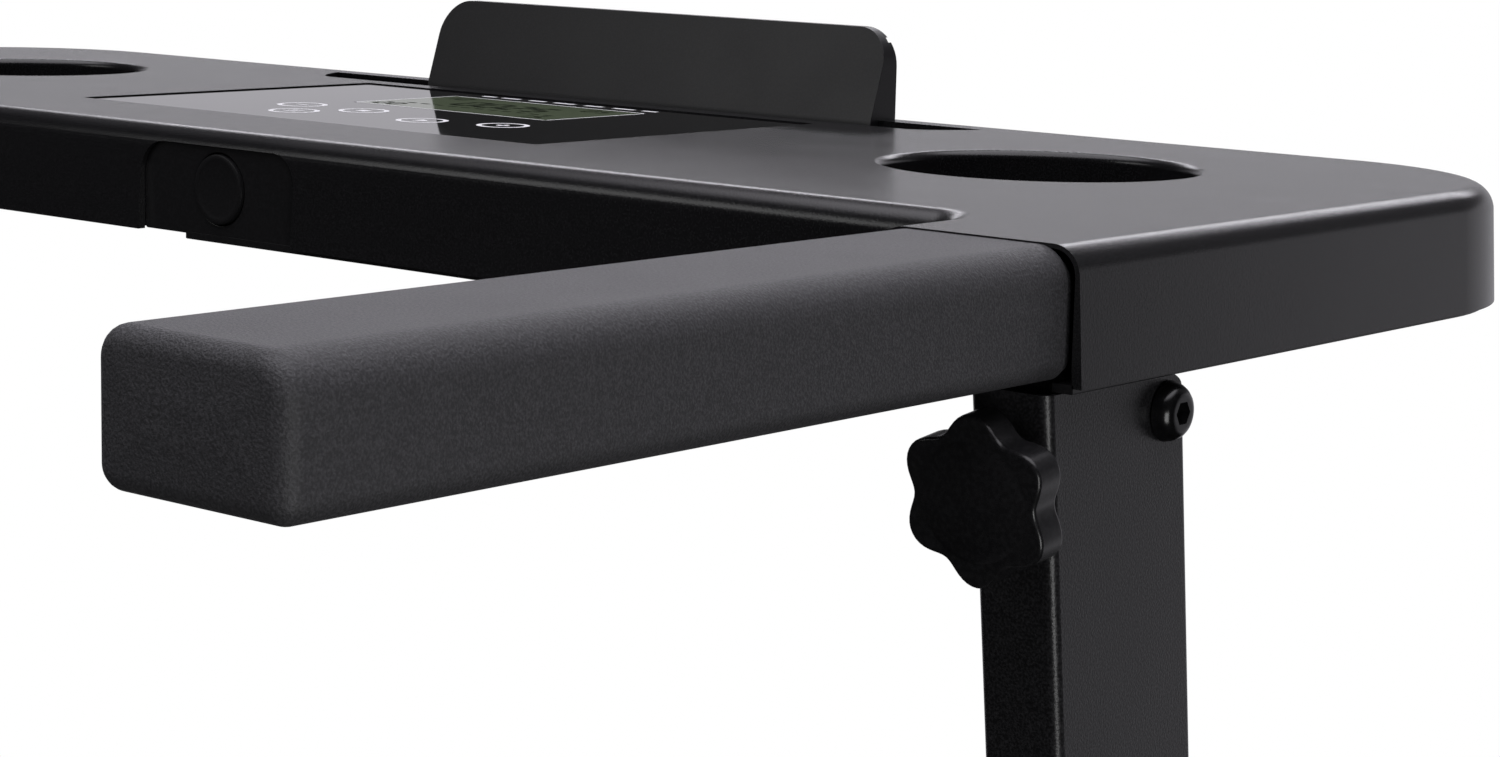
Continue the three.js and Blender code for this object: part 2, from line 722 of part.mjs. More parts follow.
// How far the console knob's stud reaches past its seat: it ends at the tongue's round edge.
const TONGUE = { radius: 39.2, thickness: 16, hub: 6.3 };
const tongueEdge = Math.sqrt(TONGUE.radius ** 2 - (KNOB.below - PIVOT.bolt) ** 2);
const consoleStud = UPRIGHT.depth / 2 + PIVOT_SHIFT - tongueEdge;
addKnobs(uprights, "clamp_knob", starKnob(consoleStud), (mesh, side) => {
  const y = -UPRIGHT.depth / 2 - GAP;
  mesh.position.set(side * UPRIGHT.centre, y, PIVOT_UP - KNOB.below);
  mesh.rotation.x = Math.PI / 2;
});
const lockStud = EAR.thickness + EAR.clearance;
addKnobs(deck, "lock_knob", starKnob(lockStud), (mesh, side) => {
  mesh.position.set(side * (earOuter + GAP), lockKnobY, lockKnobZ);
  mesh.rotation.y = (side * Math.PI) / 2;
});

// ---- Console frame: tongues, handrail tubes and crossbar ----

const FOAM_X = (FOAM.inner + FOAM.outer) / 2;
const TUBE_X = around(FOAM_X, GRIP_TUBE.width / 2);
const TUBE_MIDDLE = (FOAM.top + FOAM.bottom) / 2; // below the console's top
const TUBE_TOP = TUBE_MIDDLE - GRIP_TUBE.height / 2;
const TUBE_BOTTOM = TUBE_MIDDLE + GRIP_TUBE.height / 2;
const GRIP_END = CONSOLE_REAR - FOAM.length;

// The tongue hangs from the handrail tube into the upright's open top. Below its neck it is
// a sector of a disc about the pivot, so it turns inside the upright without meeting a wall.
function pivotTongue() {
  const across = around(UPRIGHT.centre, TONGUE.thickness / 2);
  const neckTop = CONSOLE.top - TUBE_BOTTOM - GAP - PIVOT_Z;
  const sector = new THREE.Shape();
  sector.moveTo(0, 0);
  sector.lineTo(-10, 4);
  sector.lineTo(-12, neckTop);
  sector.lineTo(-37, neckTop);
  sector.absarc(0, 0, TONGUE.radius, Math.PI, 1.49 * Math.PI);
  const blade = prism("x", sector, across, 8);
  const hub = rod("x", TONGUE.hub, across, [0, 0, 0], 20);
  const hole = rod("x", PIVOT.bolt + GAP, widened(across, 1), [0, 0, 0], 16);
  return cut(blade.add(hub), hole).translate([0, PIVOT_Y, PIVOT_Z]);
}

addPair(consoleGroup, "pivot_tongue", pivotTongue(), blackPaint);

function handrailTube() {
  const up = [CONSOLE.top - TUBE_BOTTOM, CONSOLE.top - TUBE_TOP];
  const outline = roundedRect(TUBE_X, up, 3);
  outline.holes.push(
    roundedRect(widened(TUBE_X, -GRIP_TUBE.wall), widened(up, -GRIP_TUBE.wall), 1.5),
  );
  return prism("y", outline, [GRIP_END + GRIP_TUBE.cap, CONSOLE_REAR + GRIP_TUBE.end], 3);
}
addPair(consoleGroup, "handrail_tube", handrailTube(), blackPaint);

// A foam sleeve, closed at the user's end and tucked a little way into the console.
function handrailFoam() {
  const up = [CONSOLE.top - FOAM.bottom, CONSOLE.top - FOAM.top];
  const tubeUp = [CONSOLE.top - TUBE_BOTTOM, CONSOLE.top - TUBE_TOP];
  const front = CONSOLE_REAR + FOAM.tuck;
  const outside = prism(
    "y", roundedRect([FOAM.inner, FOAM.outer], up, FOAM.round), [GRIP_END, front], 4,
  );
  const bore = roundedRect(widened(TUBE_X, GAP), widened(tubeUp, GAP), 3);
  const inside = [GRIP_END + GRIP_TUBE.cap - GAP, front + 1];
  return outside.subtract(prism("y", bore, inside, 3));
}
addPair(consoleGroup, "handrail_foam", handrailFoam(), foamSkin);

function crossbar() {
  const { from, to, height } = CROSSBAR;
  const top = CONSOLE.top - TUBE_TOP - 1;
  const outline = roundedRect([from, to], [top - height, top], 2);
  outline.holes.push(roundedRect([from + 1.5, to - 1.5], [top - height + 1.5, top - 1.5], 1));
  return prism("x", outline, [GAP - TUBE_X[0], TUBE_X[0] - GAP], 2);
}
add(consoleGroup, "console_crossbar", crossbar(), blackPaint);

// ---- Console shell ----

// The tray's outline, moved inwards by inset. Its two wings reach back past the apron.
function trayOutline(inset) {
  const half = CONSOLE.half - inset;
  const front = CONSOLE_REAR + CONSOLE.depth - inset;
  const rear = CONSOLE_REAR + inset;
  const corner = CONSOLE.corner - inset;
  const wing = CONSOLE.half - WING.width + inset;
  const fillet = WING.fillet + inset;
  const filletY = APRON + inset - fillet;
  const quarter = Math.PI / 2;
  const shape = new THREE.Shape();
  shape.moveTo(wing, rear);
  shape.lineTo(half, rear);
  shape.absarc(half - corner, front - corner, corner, 0, quarter);
  shape.absarc(corner - half, front - corner, corner, quarter, 2 * quarter);
  shape.lineTo(-half, rear);
  shape.lineTo(-wing, rear);
  shape.absarc(fillet - wing, filletY, fillet, 2 * quarter, quarter, true);
  shape.absarc(wing - fillet, filletY, fillet, quarter, 0, true);
  return shape;
}

// The space inside the tray's outline between two heights, with its top edge rounded.
function trayBlock(inset, [bottom, top], round) {
  const geometry = new THREE.ExtrudeGeometry(trayOutline(inset + round), {
    depth: top - round - bottom,
    bevelThickness: round,
    bevelSize: round,
    bevelSegments: 3,
    curveSegments: 6,
  });
  const rounded = solid(geometry.translate(0, 0, bottom));
  return rounded.subtract(box([-400, 400], [0, 800], [bottom - 50, bottom]));
}

const SHELL_BOTTOM = CONSOLE_BOTTOM + 1.3; // the bottom cover shows below the shell
const COVER_TOP = CONSOLE_BOTTOM + 2.2;

function cupPost(side, radius, down) {
  return rod("z", radius, [-down, 0], [side * CUP.x, CUP.y, CONSOLE.top], 32);
}

// Where the foam enters the wing, only a thin lip of the top wall is left.
function wingMouth(side) {
  const across = [FOAM.inner - GAP, FOAM.outer + GAP].map((x) => side * x);
  return box(
    [Math.min(...across), Math.max(...across)],
    [CONSOLE_REAR - 1, CONSOLE_REAR + FOAM.tuck + 1],
    [CONSOLE_BOTTOM - 1, CONSOLE.top - FOAM.top + GAP],
  );
}

// A shell open below, with its cup wells, the display's seat and the tablet rest's channel.
function topShell() {
  const { top, wall } = CONSOLE;
  const outside = trayBlock(0, [SHELL_BOTTOM, top], CONSOLE_EDGE);
  const inside = trayBlock(wall, [SHELL_BOTTOM - 1, top - wall], CONSOLE_EDGE - wall);
  const across = around(0, CHANNEL.half);
  const thick = [
    box(widened(across, wall), widened([CHANNEL.from, CHANNEL.to], wall), [top - 5.5, top]),
    box(around(0, LENS.half + 3), widened([LENS.from, LENS.to], 3), [top - 3.5, top]),
    cupPost(1, CUP.radius + CUP.wall, CUP.depth + CUP.wall),
    cupPost(-1, CUP.radius + CUP.wall, CUP.depth + CUP.wall),
  ];
  const cupMouth = (side) => {
    const { radius, rim, depth } = CUP;
    const profile = [[0, -depth], [radius, -depth], [radius, -rim]];
    profile.push([radius + 0.3 * rim, -0.3 * rim], [radius + rim, 0], [radius + rim, 1], [0, 1]);
    return turned("z", profile, [side * CUP.x, CUP.y, top], 32);
  };
  const seat = box(
    around(0, LENS.half + GAP),
    widened([LENS.from, LENS.to], GAP),
    [top - LENS.thickness - GAP, top + 1],
  );
  const lcdWindow = box(around(0, LCD.half), [LCD.from, LCD.to], [top - 8, top]);
  const channel = prism(
    "z", roundedRect(across, [CHANNEL.from, CHANNEL.to], 8), [top - CHANNEL.depth, top + 1], 3,
  );
  const keyWindow = box(
    around(KEY.x, KEY.socket - 3),
    [APRON - 1, APRON + wall + 1],
    around(KEY.z, 11),
  );
  return cut(
    outside,
    cut(inside, ...thick),
    cupMouth(1),
    cupMouth(-1),
    seat,
    lcdWindow,
    channel,
    keyWindow,
    wingMouth(1),
    wingMouth(-1),
  );
}
add(consoleGroup, "console_top_shell", topShell(), blackPlastic);

// The cover lies inside the shell's wall, cut away around the tongues and the foam.
function bottomCover() {
  const outline = trayOutline(CONSOLE.wall + GAP);
  const plate = prism("z", outline, [CONSOLE_BOTTOM, COVER_TOP]);
  const tongueHole = (side) =>
    box(
      around(side * UPRIGHT.centre, TONGUE.thickness / 2 + 1),
      [0, PIVOT_Y - 9],
      [CONSOLE_BOTTOM - 1, COVER_TOP + 1],
    );
  return cut(plate, tongueHole(1), tongueHole(-1), wingMouth(1), wingMouth(-1));
}
add(consoleGroup, "console_bottom_cover", bottomCover(), darkPlastic);

// ---- Display, tablet rest and safety key ----

const lensUp = [CONSOLE.top - LENS.thickness, CONSOLE.top];
const lens = roundedRect(around(0, LENS.half), [LENS.from, LENS.to], 1.5);
add(consoleGroup, "display_lens", prism("z", lens, lensUp, 2), glossPanel);

const LCD_DEPTH = 6;
const lcdUp = [lensUp[0] - GAP - LCD_DEPTH, lensUp[0] - GAP];
const lcdSpan = widened([LCD.from, LCD.to], -GAP);
add(consoleGroup, "lcd_module", box(around(0, LCD.half - GAP), lcdSpan, lcdUp), lcdGlass);

const CONTROL_BOARD = { half: 82, inset: 6, thickness: 1.6 };
const HEADER = { half: 30, depth: 6, drop: 9 };

// The control board hangs under the display with a ribbon header along one edge.
function controlBoard() {
  const top = lcdUp[0] - GAP;
  const { half, inset, thickness } = CONTROL_BOARD;
  const span = [LENS.from + inset, LENS.to - inset];
  const board = box(around(0, half), span, [top - thickness, top]);
  const { half: headerHalf, depth, drop } = HEADER;
  const headerRear = span[0] + 4;
  const header = box(around(0, headerHalf), [headerRear, headerRear + depth], [top - drop, top - 1]);
  return board.add(header);
}
add(consoleGroup, "control_board", controlBoard(), boardGreen);

// A plate that leans away from the user, stiffened by a wedge behind each end. Its foot
// stands in the channel and its wedges on the tray behind it.
function tabletRest() {
  const { x, half, foot, height, back } = REST;
  const { thickness: plate, corner } = REST_PLATE;
  const floor = CONSOLE.top + GAP;
  const footEnd = CHANNEL.to - GAP;
  const top = CONSOLE.top + height;
  const side = polygon([
    [foot, floor - CHANNEL.depth],
    [footEnd, floor - CHANNEL.depth],
    [footEnd, floor],
    [foot + back, floor],
    [foot + back, top - 6],
    [foot + back - plate, top],
    [foot + back - 2 * plate, top],
  ]);
  const hollow = polygon([
    [footEnd, floor - 1],
    [foot + back + 1, floor - 1],
    [foot + back + 1, top - 5],
    [foot + back - plate, top - 5],
  ]);
  const wedge = prism("x", side, [x - half, x + half]);
  const behind = prism("x", hollow, [x - half + plate, x + half - plate]);
  const face = new THREE.Shape();
  face.moveTo(x - half, floor - 5);
  face.lineTo(x + half, floor - 5);
  face.absarc(x + half - corner, top - corner, corner, 0, Math.PI / 2);
  face.absarc(x - half + corner, top - corner, corner, Math.PI / 2, Math.PI);
  return wedge.subtract(behind).intersect(prism("y", face, [foot - 5, foot + 40], 5));
}
add(consoleGroup, "tablet_rest", tabletRest(), darkPlastic);

// A flanged cup behind the apron that holds the key's magnet.
function keySocket() {
  const rear = APRON + CONSOLE.wall + GAP;
  const flangeUp = [KEY.z - 12, KEY.z + 10];
  const flange = box(around(KEY.x, KEY.socket - 0.5), [rear, rear + 2], flangeUp);
  const plugAcross = around(KEY.x, KEY.socket - 3 - GAP);
  const plug = box(plugAcross, [APRON + 0.6, rear + 1], around(KEY.z, 11 - GAP));
  const cup = rod("y", KEY.radius + 2, [rear + 1, rear + 10], [KEY.x, 0, KEY.z], 24);
  const bore = rod("y", KEY.radius + GAP, [APRON - 1, rear + 8], [KEY.x, 0, KEY.z], 24);
  return cut(union(flange, plug, cup), bore);
}
add(consoleGroup, "safety_key_socket", keySocket(), darkPlastic);

function safetyKey() {
  const rear = APRON + CONSOLE.wall + 8;
  const profile = [
    [0, APRON + 0.2],
    [KEY.radius - 1, APRON + 0.2],
    [KEY.radius, APRON + 1],
    [KEY.radius, rear - 1],
    [KEY.radius - 1, rear],
    [0, rear],
  ];
  return turned("y", profile, [KEY.x, 0, KEY.z], 24);
}
add(consoleGroup, "safety_key", safetyKey(), darkPlastic);

export default treadmill;
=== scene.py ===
"""The looks of a folding home treadmill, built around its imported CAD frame.

The console, its right handrail and the top of the right upright are what the camera sees.
Lengths are in metres; MM turns millimetres into them. +X is the user's right, +Y the way
the user faces, +Z up.
"""
import json
import math

import bmesh
import bpy
from mathutils import Matrix, Vector


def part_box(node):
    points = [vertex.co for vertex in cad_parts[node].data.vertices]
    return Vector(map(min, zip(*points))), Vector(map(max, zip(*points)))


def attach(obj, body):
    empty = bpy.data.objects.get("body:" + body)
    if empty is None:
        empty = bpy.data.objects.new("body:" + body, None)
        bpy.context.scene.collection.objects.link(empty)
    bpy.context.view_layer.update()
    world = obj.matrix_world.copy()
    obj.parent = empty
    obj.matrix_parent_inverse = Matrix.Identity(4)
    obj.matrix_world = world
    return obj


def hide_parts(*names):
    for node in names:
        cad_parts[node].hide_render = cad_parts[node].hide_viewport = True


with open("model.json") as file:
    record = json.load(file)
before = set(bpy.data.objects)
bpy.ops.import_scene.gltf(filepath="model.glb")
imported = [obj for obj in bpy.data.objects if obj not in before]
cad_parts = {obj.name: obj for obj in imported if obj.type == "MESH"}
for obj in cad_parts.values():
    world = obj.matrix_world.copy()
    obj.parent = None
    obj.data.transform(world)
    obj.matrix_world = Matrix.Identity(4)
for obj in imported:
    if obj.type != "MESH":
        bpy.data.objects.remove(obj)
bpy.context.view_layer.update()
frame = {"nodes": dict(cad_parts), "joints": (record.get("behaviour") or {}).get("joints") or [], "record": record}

MM = 0.001
QUARTER = math.pi / 2
SHARP = math.radians(38)  # edges sharper than this keep a crisp line

# ---- Places taken from the CAD frame ----

JOINTS = {joint["name"]: joint for joint in frame["joints"]}
BASE_PIVOT = Vector(JOINTS["upright_fold"]["pos_m"])
CONSOLE_PIVOT = Vector(JOINTS["console_fold"]["pos_m"])
RAKE = math.radians(7)  # the uprights lean towards the user

SHELL_LOW, SHELL_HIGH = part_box("console_top_shell")
HALF = SHELL_HIGH.x
TOP = SHELL_HIGH.z
REAR = SHELL_LOW.y
FRONT = SHELL_HIGH.y
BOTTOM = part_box("console_bottom_cover")[0].z

WING_WIDTH = 54 * MM
APRON = REAR + 32 * MM  # the user-facing wall between the wings
CORNER = 66 * MM
NOTCH_FILLET = 10 * MM
EDGE = 7 * MM  # rounding of the tray's top edge
WALL = 2.5 * MM
FLARE = 1.7 * MM  # the walls lean out towards the bottom

CUP_X = 220 * MM
CUP_Y = REAR + 146 * MM
CUP_RADIUS = 42.5 * MM
CUP_LIP = 2.5 * MM
CUP_DEPTH = 27 * MM

CLEARANCE = 0.3 * MM  # between a deck piece and the part beside it
DECK_WALL = 2.5 * MM  # of the motor hood and the foot rails

# ---- Mesh building ----


def new_object(name, mesh, material, body):
    obj = bpy.data.objects.new(name, mesh)
    bpy.context.scene.collection.objects.link(obj)
    for each in material if isinstance(material, list) else [material]:
        mesh.materials.append(each)
    if body:
        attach(obj, body)
    return obj


def from_bmesh(name, bm, material=None, body=None):
    mesh = bpy.data.meshes.new(name)
    bmesh.ops.recalc_face_normals(bm, faces=bm.faces)
    bm.to_mesh(mesh)
    bm.free()
    return new_object(name, mesh, material or [], body)


def loft(loops, closed=False):
    """A body through loops of equal length. closed joins the last loop to the first."""
    bm = bmesh.new()
    rings = [[bm.verts.new(point) for point in loop] for loop in loops]
    pairs = list(zip(rings, rings[1:]))
    if closed:
        pairs.append((rings[-1], rings[0]))
    for low, high in pairs:
        count = len(low)
        for i in range(count):
            j = (i + 1) % count
            bm.faces.new((low[i], low[j], high[j], high[i]))
    if not closed:
        bm.faces.new(list(reversed(rings[0])))
        bm.faces.new(rings[-1])
    return bm


AXES = {
    "x": lambda a, b, along: Vector((along, a, b)),
    "y": lambda a, b, along: Vector((a, along, b)),
    "z": lambda a, b, along: Vector((a, b, along)),
}


def ring(axis, radius, along, centre, segments):
    """A circle about the axis through centre, at a distance along it."""
    angles = [2 * math.pi * i / segments for i in range(segments)]
    flat = [(radius * math.cos(t), radius * math.sin(t)) for t in angles]
    return [centre + AXES[axis](a, b, along) for a, b in flat]


def turned(axis, profile, centre, segments=48):
    """A body of revolution. The profile is [(radius, along), ...], from one end to the other."""
    smallest = 0.02 * MM
    loops = [ring(axis, max(r, smallest), along, centre, segments) for r, along in profile]
    return loft(loops)


def arc(centre, radius, start, end, steps):
    """Points of an arc, with angles in radians and both ends included."""
    angles = [start + (end - start) * i / steps for i in range(steps + 1)]
    return [(centre[0] + radius * math.cos(t), centre[1] + radius * math.sin(t)) for t in angles]


def rounded_rect(low, high, radius, steps=6):
    """The outline of a rectangle with round corners, anticlockwise."""
    (a0, b0), (a1, b1) = low, high
    corners = [(a1, b0, -1), (a1, b1, 0), (a0, b1, 1), (a0, b0, 2)]
    points = []
    for a, b, turn in corners:
        centre = (a - radius if a == a1 else a + radius, b + radius if b == b0 else b - radius)
        points += arc(centre, radius, turn * QUARTER, (turn + 1) * QUARTER, steps)
    return points


def rounded_polygon(corners, radius, steps=4):
    """The polygon with each corner swept round, closer where its edges are short."""
    points = [Vector(corner) for corner in corners]
    count = len(points)
    smooth = []
    for i, corner in enumerate(points):
        before, after = points[i - 1] - corner, points[(i + 1) % count] - corner
        reach = min(radius, 0.45 * before.length, 0.45 * after.length)
        start = corner + before.normalized() * reach
        end = corner + after.normalized() * reach
        for k in range(steps + 1):
            t = k / steps
            smooth.append(tuple((1 - t) ** 2 * start + 2 * t * (1 - t) * corner + t * t * end))
    return smooth


def prism(axis, outline, start, end):
    """An outline carried along an axis."""
    return loft([[AXES[axis](a, b, along) for a, b in outline] for along in (start, end)])


def box(low, high):
    x0, y0, z0 = low
    x1, y1, z1 = high
    return prism("z", [(x0, y0), (x1, y0), (x1, y1), (x0, y1)], z0, z1)


def combine(obj, operation, *tools):
    """Cuts, joins or intersects obj with each tool, a bmesh."""
    for tool in tools:
        other = from_bmesh("tool", tool)
        modifier = obj.modifiers.new("combine", "BOOLEAN")
        modifier.operation = operation
        modifier.solver = "EXACT"
        modifier.object = other
        bake(obj)
        bpy.data.objects.remove(other)
    return obj


def cut(obj, *tools):
    return combine(obj, "DIFFERENCE", *tools)


def take_bmesh(obj):
    """The object's mesh as a bmesh. The object itself is removed."""
    bm = bmesh.new()
    bm.from_mesh(obj.data)
    bpy.data.objects.remove(obj)
    return bm


def merged(pieces):
    """Several bmeshes as one."""
    whole = bmesh.new()
    for piece in pieces:
        mesh = bpy.data.meshes.new("piece")
        piece.to_mesh(mesh)
        piece.free()
        whole.from_mesh(mesh)
        bpy.data.meshes.remove(mesh)
    return whole


def bake(obj):
    """Turns the modifiers' result into the object's own mesh."""
    graph = bpy.context.evaluated_depsgraph_get()
    mesh = bpy.data.meshes.new_from_object(obj.evaluated_get(graph), depsgraph=graph)
    obj.modifiers.clear()
    old = obj.data
    obj.data = mesh
    bpy.data.meshes.remove(old)


def soften(obj, bevel=0.0, segments=3, angle=30):
    """Rounds sharp edges, then shades curved faces smooth and keeps flat ones flat."""
    if bevel:
        modifier = obj.modifiers.new("bevel", "BEVEL")
        modifier.width = bevel
        modifier.segments = segments
        modifier.limit_method = "ANGLE"
        modifier.angle_limit = math.radians(angle)
        modifier.use_clamp_overlap = True
        bake(obj)
    obj.data.polygons.foreach_set("use_smooth", [True] * len(obj.data.polygons))
    obj.data.set_sharp_from_angle(angle=SHARP)
    weighted = obj.modifiers.new("weighted", "WEIGHTED_NORMAL")
    weighted.keep_sharp = True
    weighted.weight = 70
    bake(obj)
    return obj


def solid(name, bm, material, body):
    return soften(from_bmesh(name, bm, material, body))


def stand_in(obj, slot, *nodes):
    """obj is shown in place of those CAD nodes, which are hidden. slot is not used."""
    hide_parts(*nodes)
    return obj


SIDES = (("right", 1), ("left", -1))


def mirrored(bm, side):
    """The same mesh on the user's left when side is -1."""
    if side < 0:
        bmesh.ops.scale(bm, vec=(-1, 1, 1), verts=bm.verts)
    return bm


# ---- Materials ----


def shader(name):
    """A new material, its nodes, its links and its surface node."""
    material = bpy.data.materials.new(name)
    material.use_nodes = True
    nodes = material.node_tree.nodes
    return material, nodes, material.node_tree.links, nodes["Principled BSDF"]


def noise_node(nodes, links, scale, detail, stretch=(1, 1, 1)):
    """Noise in the object's own coordinates, which are metres."""
    place = nodes.new("ShaderNodeTexCoord")
    mapping = nodes.new("ShaderNodeMapping")
    mapping.inputs["Scale"].default_value = stretch
    noise = nodes.new("ShaderNodeTexNoise")
    noise.inputs["Scale"].default_value = scale
    noise.inputs["Detail"].default_value = detail
    links.new(place.outputs["Object"], mapping.inputs["Vector"])
    links.new(mapping.outputs["Vector"], noise.inputs["Vector"])
    return noise.outputs["Fac"]


def ramp(nodes, links, source, low, high, from_low=0.35, from_high=0.65):
    """Spreads a noise value's middle range over low..high."""
    spread = nodes.new("ShaderNodeMapRange")
    spread.inputs["From Min"].default_value = from_low
    spread.inputs["From Max"].default_value = from_high
    spread.inputs["To Min"].default_value = low
    spread.inputs["To Max"].default_value = high
    links.new(source, spread.inputs["Value"])
    return spread.outputs["Result"]


def tint(nodes, links, factor, dark, light):
    """Mixes two colours, all dark at 0 and all light at 1."""
    mix = nodes.new("ShaderNodeMix")
    mix.data_type = "RGBA"
    mix.inputs["A"].default_value = (*dark, 1)
    mix.inputs["B"].default_value = (*light, 1)
    links.new(factor, mix.inputs["Factor"])
    return mix.outputs["Result"]


def bump(nodes, links, height, depth, strength):
    node = nodes.new("ShaderNodeBump")
    node.inputs["Distance"].default_value = depth
    node.inputs["Strength"].default_value = strength
    links.new(height, node.inputs["Height"])
    return node.outputs["Normal"]


def grained(name, dark, light, roughness, grain, depth, strength=1.0, metallic=0.0, ior=1.5):
    """A material with a fine grain of a given size, a soft mottle and uneven gloss."""
    material, nodes, links, surface = shader(name)
    fine = noise_node(nodes, links, 1 / grain, 3)
    broad = noise_node(nodes, links, 35, 4)
    speckle = ramp(nodes, links, fine, 0, 1, 0.4, 0.75)
    links.new(tint(nodes, links, speckle, dark, light), surface.inputs["Base Color"])
    rough = ramp(nodes, links, broad, roughness - 0.012, roughness + 0.012)
    links.new(rough, surface.inputs["Roughness"])
    links.new(bump(nodes, links, fine, depth, strength), surface.inputs["Normal"])
    surface.inputs["Metallic"].default_value = metallic
    surface.inputs["IOR"].default_value = ior
    return material


def grey(value):
    """A grey with the photo's faint blue-violet cast."""
    return (value, value * 0.985, value * 1.06)


console_plastic = grained(
    "console_plastic", grey(0.009), grey(0.02), 0.22, 0.55 * MM, 0.05 * MM, 0.8
)
dark_plastic = grained("dark_plastic", grey(0.01), grey(0.018), 0.36, 0.6 * MM, 0.02 * MM, 0.4)
foam_skin = grained("foam_skin", grey(0.04), grey(0.09), 0.58, 0.55 * MM, 0.22 * MM, 1.0)
powder_coat = grained("powder_coat", grey(0.01), grey(0.04), 0.32, 0.6 * MM, 0.09 * MM, 0.9)
knob_plastic = grained("knob_plastic", grey(0.012), grey(0.022), 0.26, 1.2 * MM, 0.03 * MM, 0.4)
black_oxide = grained("black_oxide", grey(0.006), grey(0.01), 0.2, 1.5 * MM, 0.01 * MM, 0.4)
zinc = grained(
    "zinc", (0.5, 0.51, 0.52), (0.66, 0.67, 0.68), 0.32, 2 * MM, 0.01 * MM, 0.4, metallic=0.95
)
cast = grained(
    "cast", (0.3, 0.31, 0.32), (0.42, 0.43, 0.44), 0.5, 1 * MM, 0.1 * MM, 0.7, metallic=0.9
)
rubber = grained("rubber", grey(0.012), grey(0.02), 0.75, 0.8 * MM, 0.06 * MM, 0.7)
board_green = grained("board_green", (0.01, 0.06, 0.03), (0.02, 0.1, 0.05), 0.4, 3 * MM, 0.02 * MM)


def glossy(name, dark, light, roughness, scale, coat=0.0):
    """A smooth clear-coated sheet whose gloss is slightly uneven, as if wiped."""
    material, nodes, links, surface = shader(name)
    broad = noise_node(nodes, links, scale, 3)
    links.new(tint(nodes, links, broad, dark, light), surface.inputs["Base Color"])
    rough = ramp(nodes, links, broad, roughness, roughness + 0.03)
    links.new(rough, surface.inputs["Roughness"])
    surface.inputs["IOR"].default_value = 1.5
    surface.inputs["Coat Weight"].default_value = coat
    return material


PRINT_IOR = 1.02  # matt ink, which stays visible at a flat angle
panel_gloss = glossy("panel_gloss", grey(0.004), grey(0.006), 0.03, 60, coat=0.35)
print_white = grained(
    "print_white", (0.86, 0.86, 0.88), (0.95, 0.95, 0.97), 0.5, 1 * MM, 0.002 * MM, ior=PRINT_IOR
)
lcd_back = glossy("lcd_back", (0.12, 0.16, 0.085), (0.15, 0.19, 0.11), 0.05, 90)
lcd_ink = grained(
    "lcd_ink", (0.01, 0.014, 0.008), (0.02, 0.025, 0.015), 0.5, 1 * MM, 0.002 * MM, ior=PRINT_IOR
)
rocker_red = glossy("rocker_red", (0.3, 0.012, 0.01), (0.38, 0.02, 0.015), 0.2, 200)


def belt_weave():
    """Black running belt with a fine raised diamond texture."""
    material, nodes, links, surface = shader("belt_weave")
    place = nodes.new("ShaderNodeTexCoord")
    heights = []
    for turn in (0.6, -0.6):
        mapping = nodes.new("ShaderNodeMapping")
        mapping.inputs["Rotation"].default_value = (0, 0, turn)
        wave = nodes.new("ShaderNodeTexWave")
        wave.inputs["Scale"].default_value = 160
        links.new(place.outputs["Object"], mapping.inputs["Vector"])
        links.new(mapping.outputs["Vector"], wave.inputs["Vector"])
        heights.append(wave.outputs["Fac"])
    both = nodes.new("ShaderNodeMath")
    both.operation = "MULTIPLY"
    links.new(heights[0], both.inputs[0])
    links.new(heights[1], both.inputs[1])
    colour = tint(nodes, links, both.outputs["Value"], grey(0.012), grey(0.03))
    links.new(colour, surface.inputs["Base Color"])
    normal = bump(nodes, links, both.outputs["Value"], 0.3 * MM, 0.8)
    links.new(normal, surface.inputs["Normal"])
    broad = noise_node(nodes, links, 25, 4)
    links.new(ramp(nodes, links, broad, 0.55, 0.7), surface.inputs["Roughness"])
    return material


def fibreboard():
    """Dark waxed board with long faint streaks."""
    material, nodes, links, surface = shader("fibreboard")
    streaks = noise_node(nodes, links, 60, 5, (6, 0.3, 6))
    colour = tint(nodes, links, streaks, (0.02, 0.014, 0.01), (0.05, 0.035, 0.024))
    links.new(colour, surface.inputs["Base Color"])
    links.new(ramp(nodes, links, streaks, 0.35, 0.5), surface.inputs["Roughness"])
    return material


belt_cloth = belt_weave()
deck_board = fibreboard()

NODE_FINISH = {
    "painted_steel": powder_coat,
    "console_plastic": console_plastic,
    "dark_plastic": dark_plastic,
    "gloss_panel": panel_gloss,
    "lcd": lcd_back,
    "circuit_board": board_green,
    "foam": foam_skin,
    "zinc_steel": zinc,
    "black_steel": black_oxide,
    "cast_metal": cast,
    "rubber": rubber,
    "belt": belt_cloth,
    "deck_board": deck_board,
    "red_plastic": rocker_red,
}


def finish_cad_nodes():
    """Every CAD node that stays gets the material of its slot."""
    slots = {part["node"]: part["material_slot"] for part in frame["record"]["subparts"]}
    for name, node in frame["nodes"].items():
        node.data.materials.clear()
        node.data.materials.append(NODE_FINISH[slots[name]])


finish_cad_nodes()


# ---- Console shell ----


def tray_loop(inset, z, rear=REAR):
    """The tray's outline at one height, anticlockwise, moved inwards by inset."""
    half = HALF - inset
    front = FRONT - inset
    corner = CORNER - inset
    wing = HALF - WING_WIDTH + inset
    fillet = NOTCH_FILLET + inset
    fillet_y = APRON + inset - fillet
    flat = [(wing, rear), (half, rear)]
    flat += arc((half - corner, front - corner), corner, 0, QUARTER, 24)
    flat += arc((corner - half, front - corner), corner, QUARTER, 2 * QUARTER, 24)
    flat += [(-half, rear), (-wing, rear)]
    flat += arc((fillet - wing, fillet_y), fillet, 2 * QUARTER, QUARTER, 10)
    flat += arc((wing - fillet, fillet_y), fillet, QUARTER, 0, 10)
    return [Vector((x, y, z)) for x, y in flat]


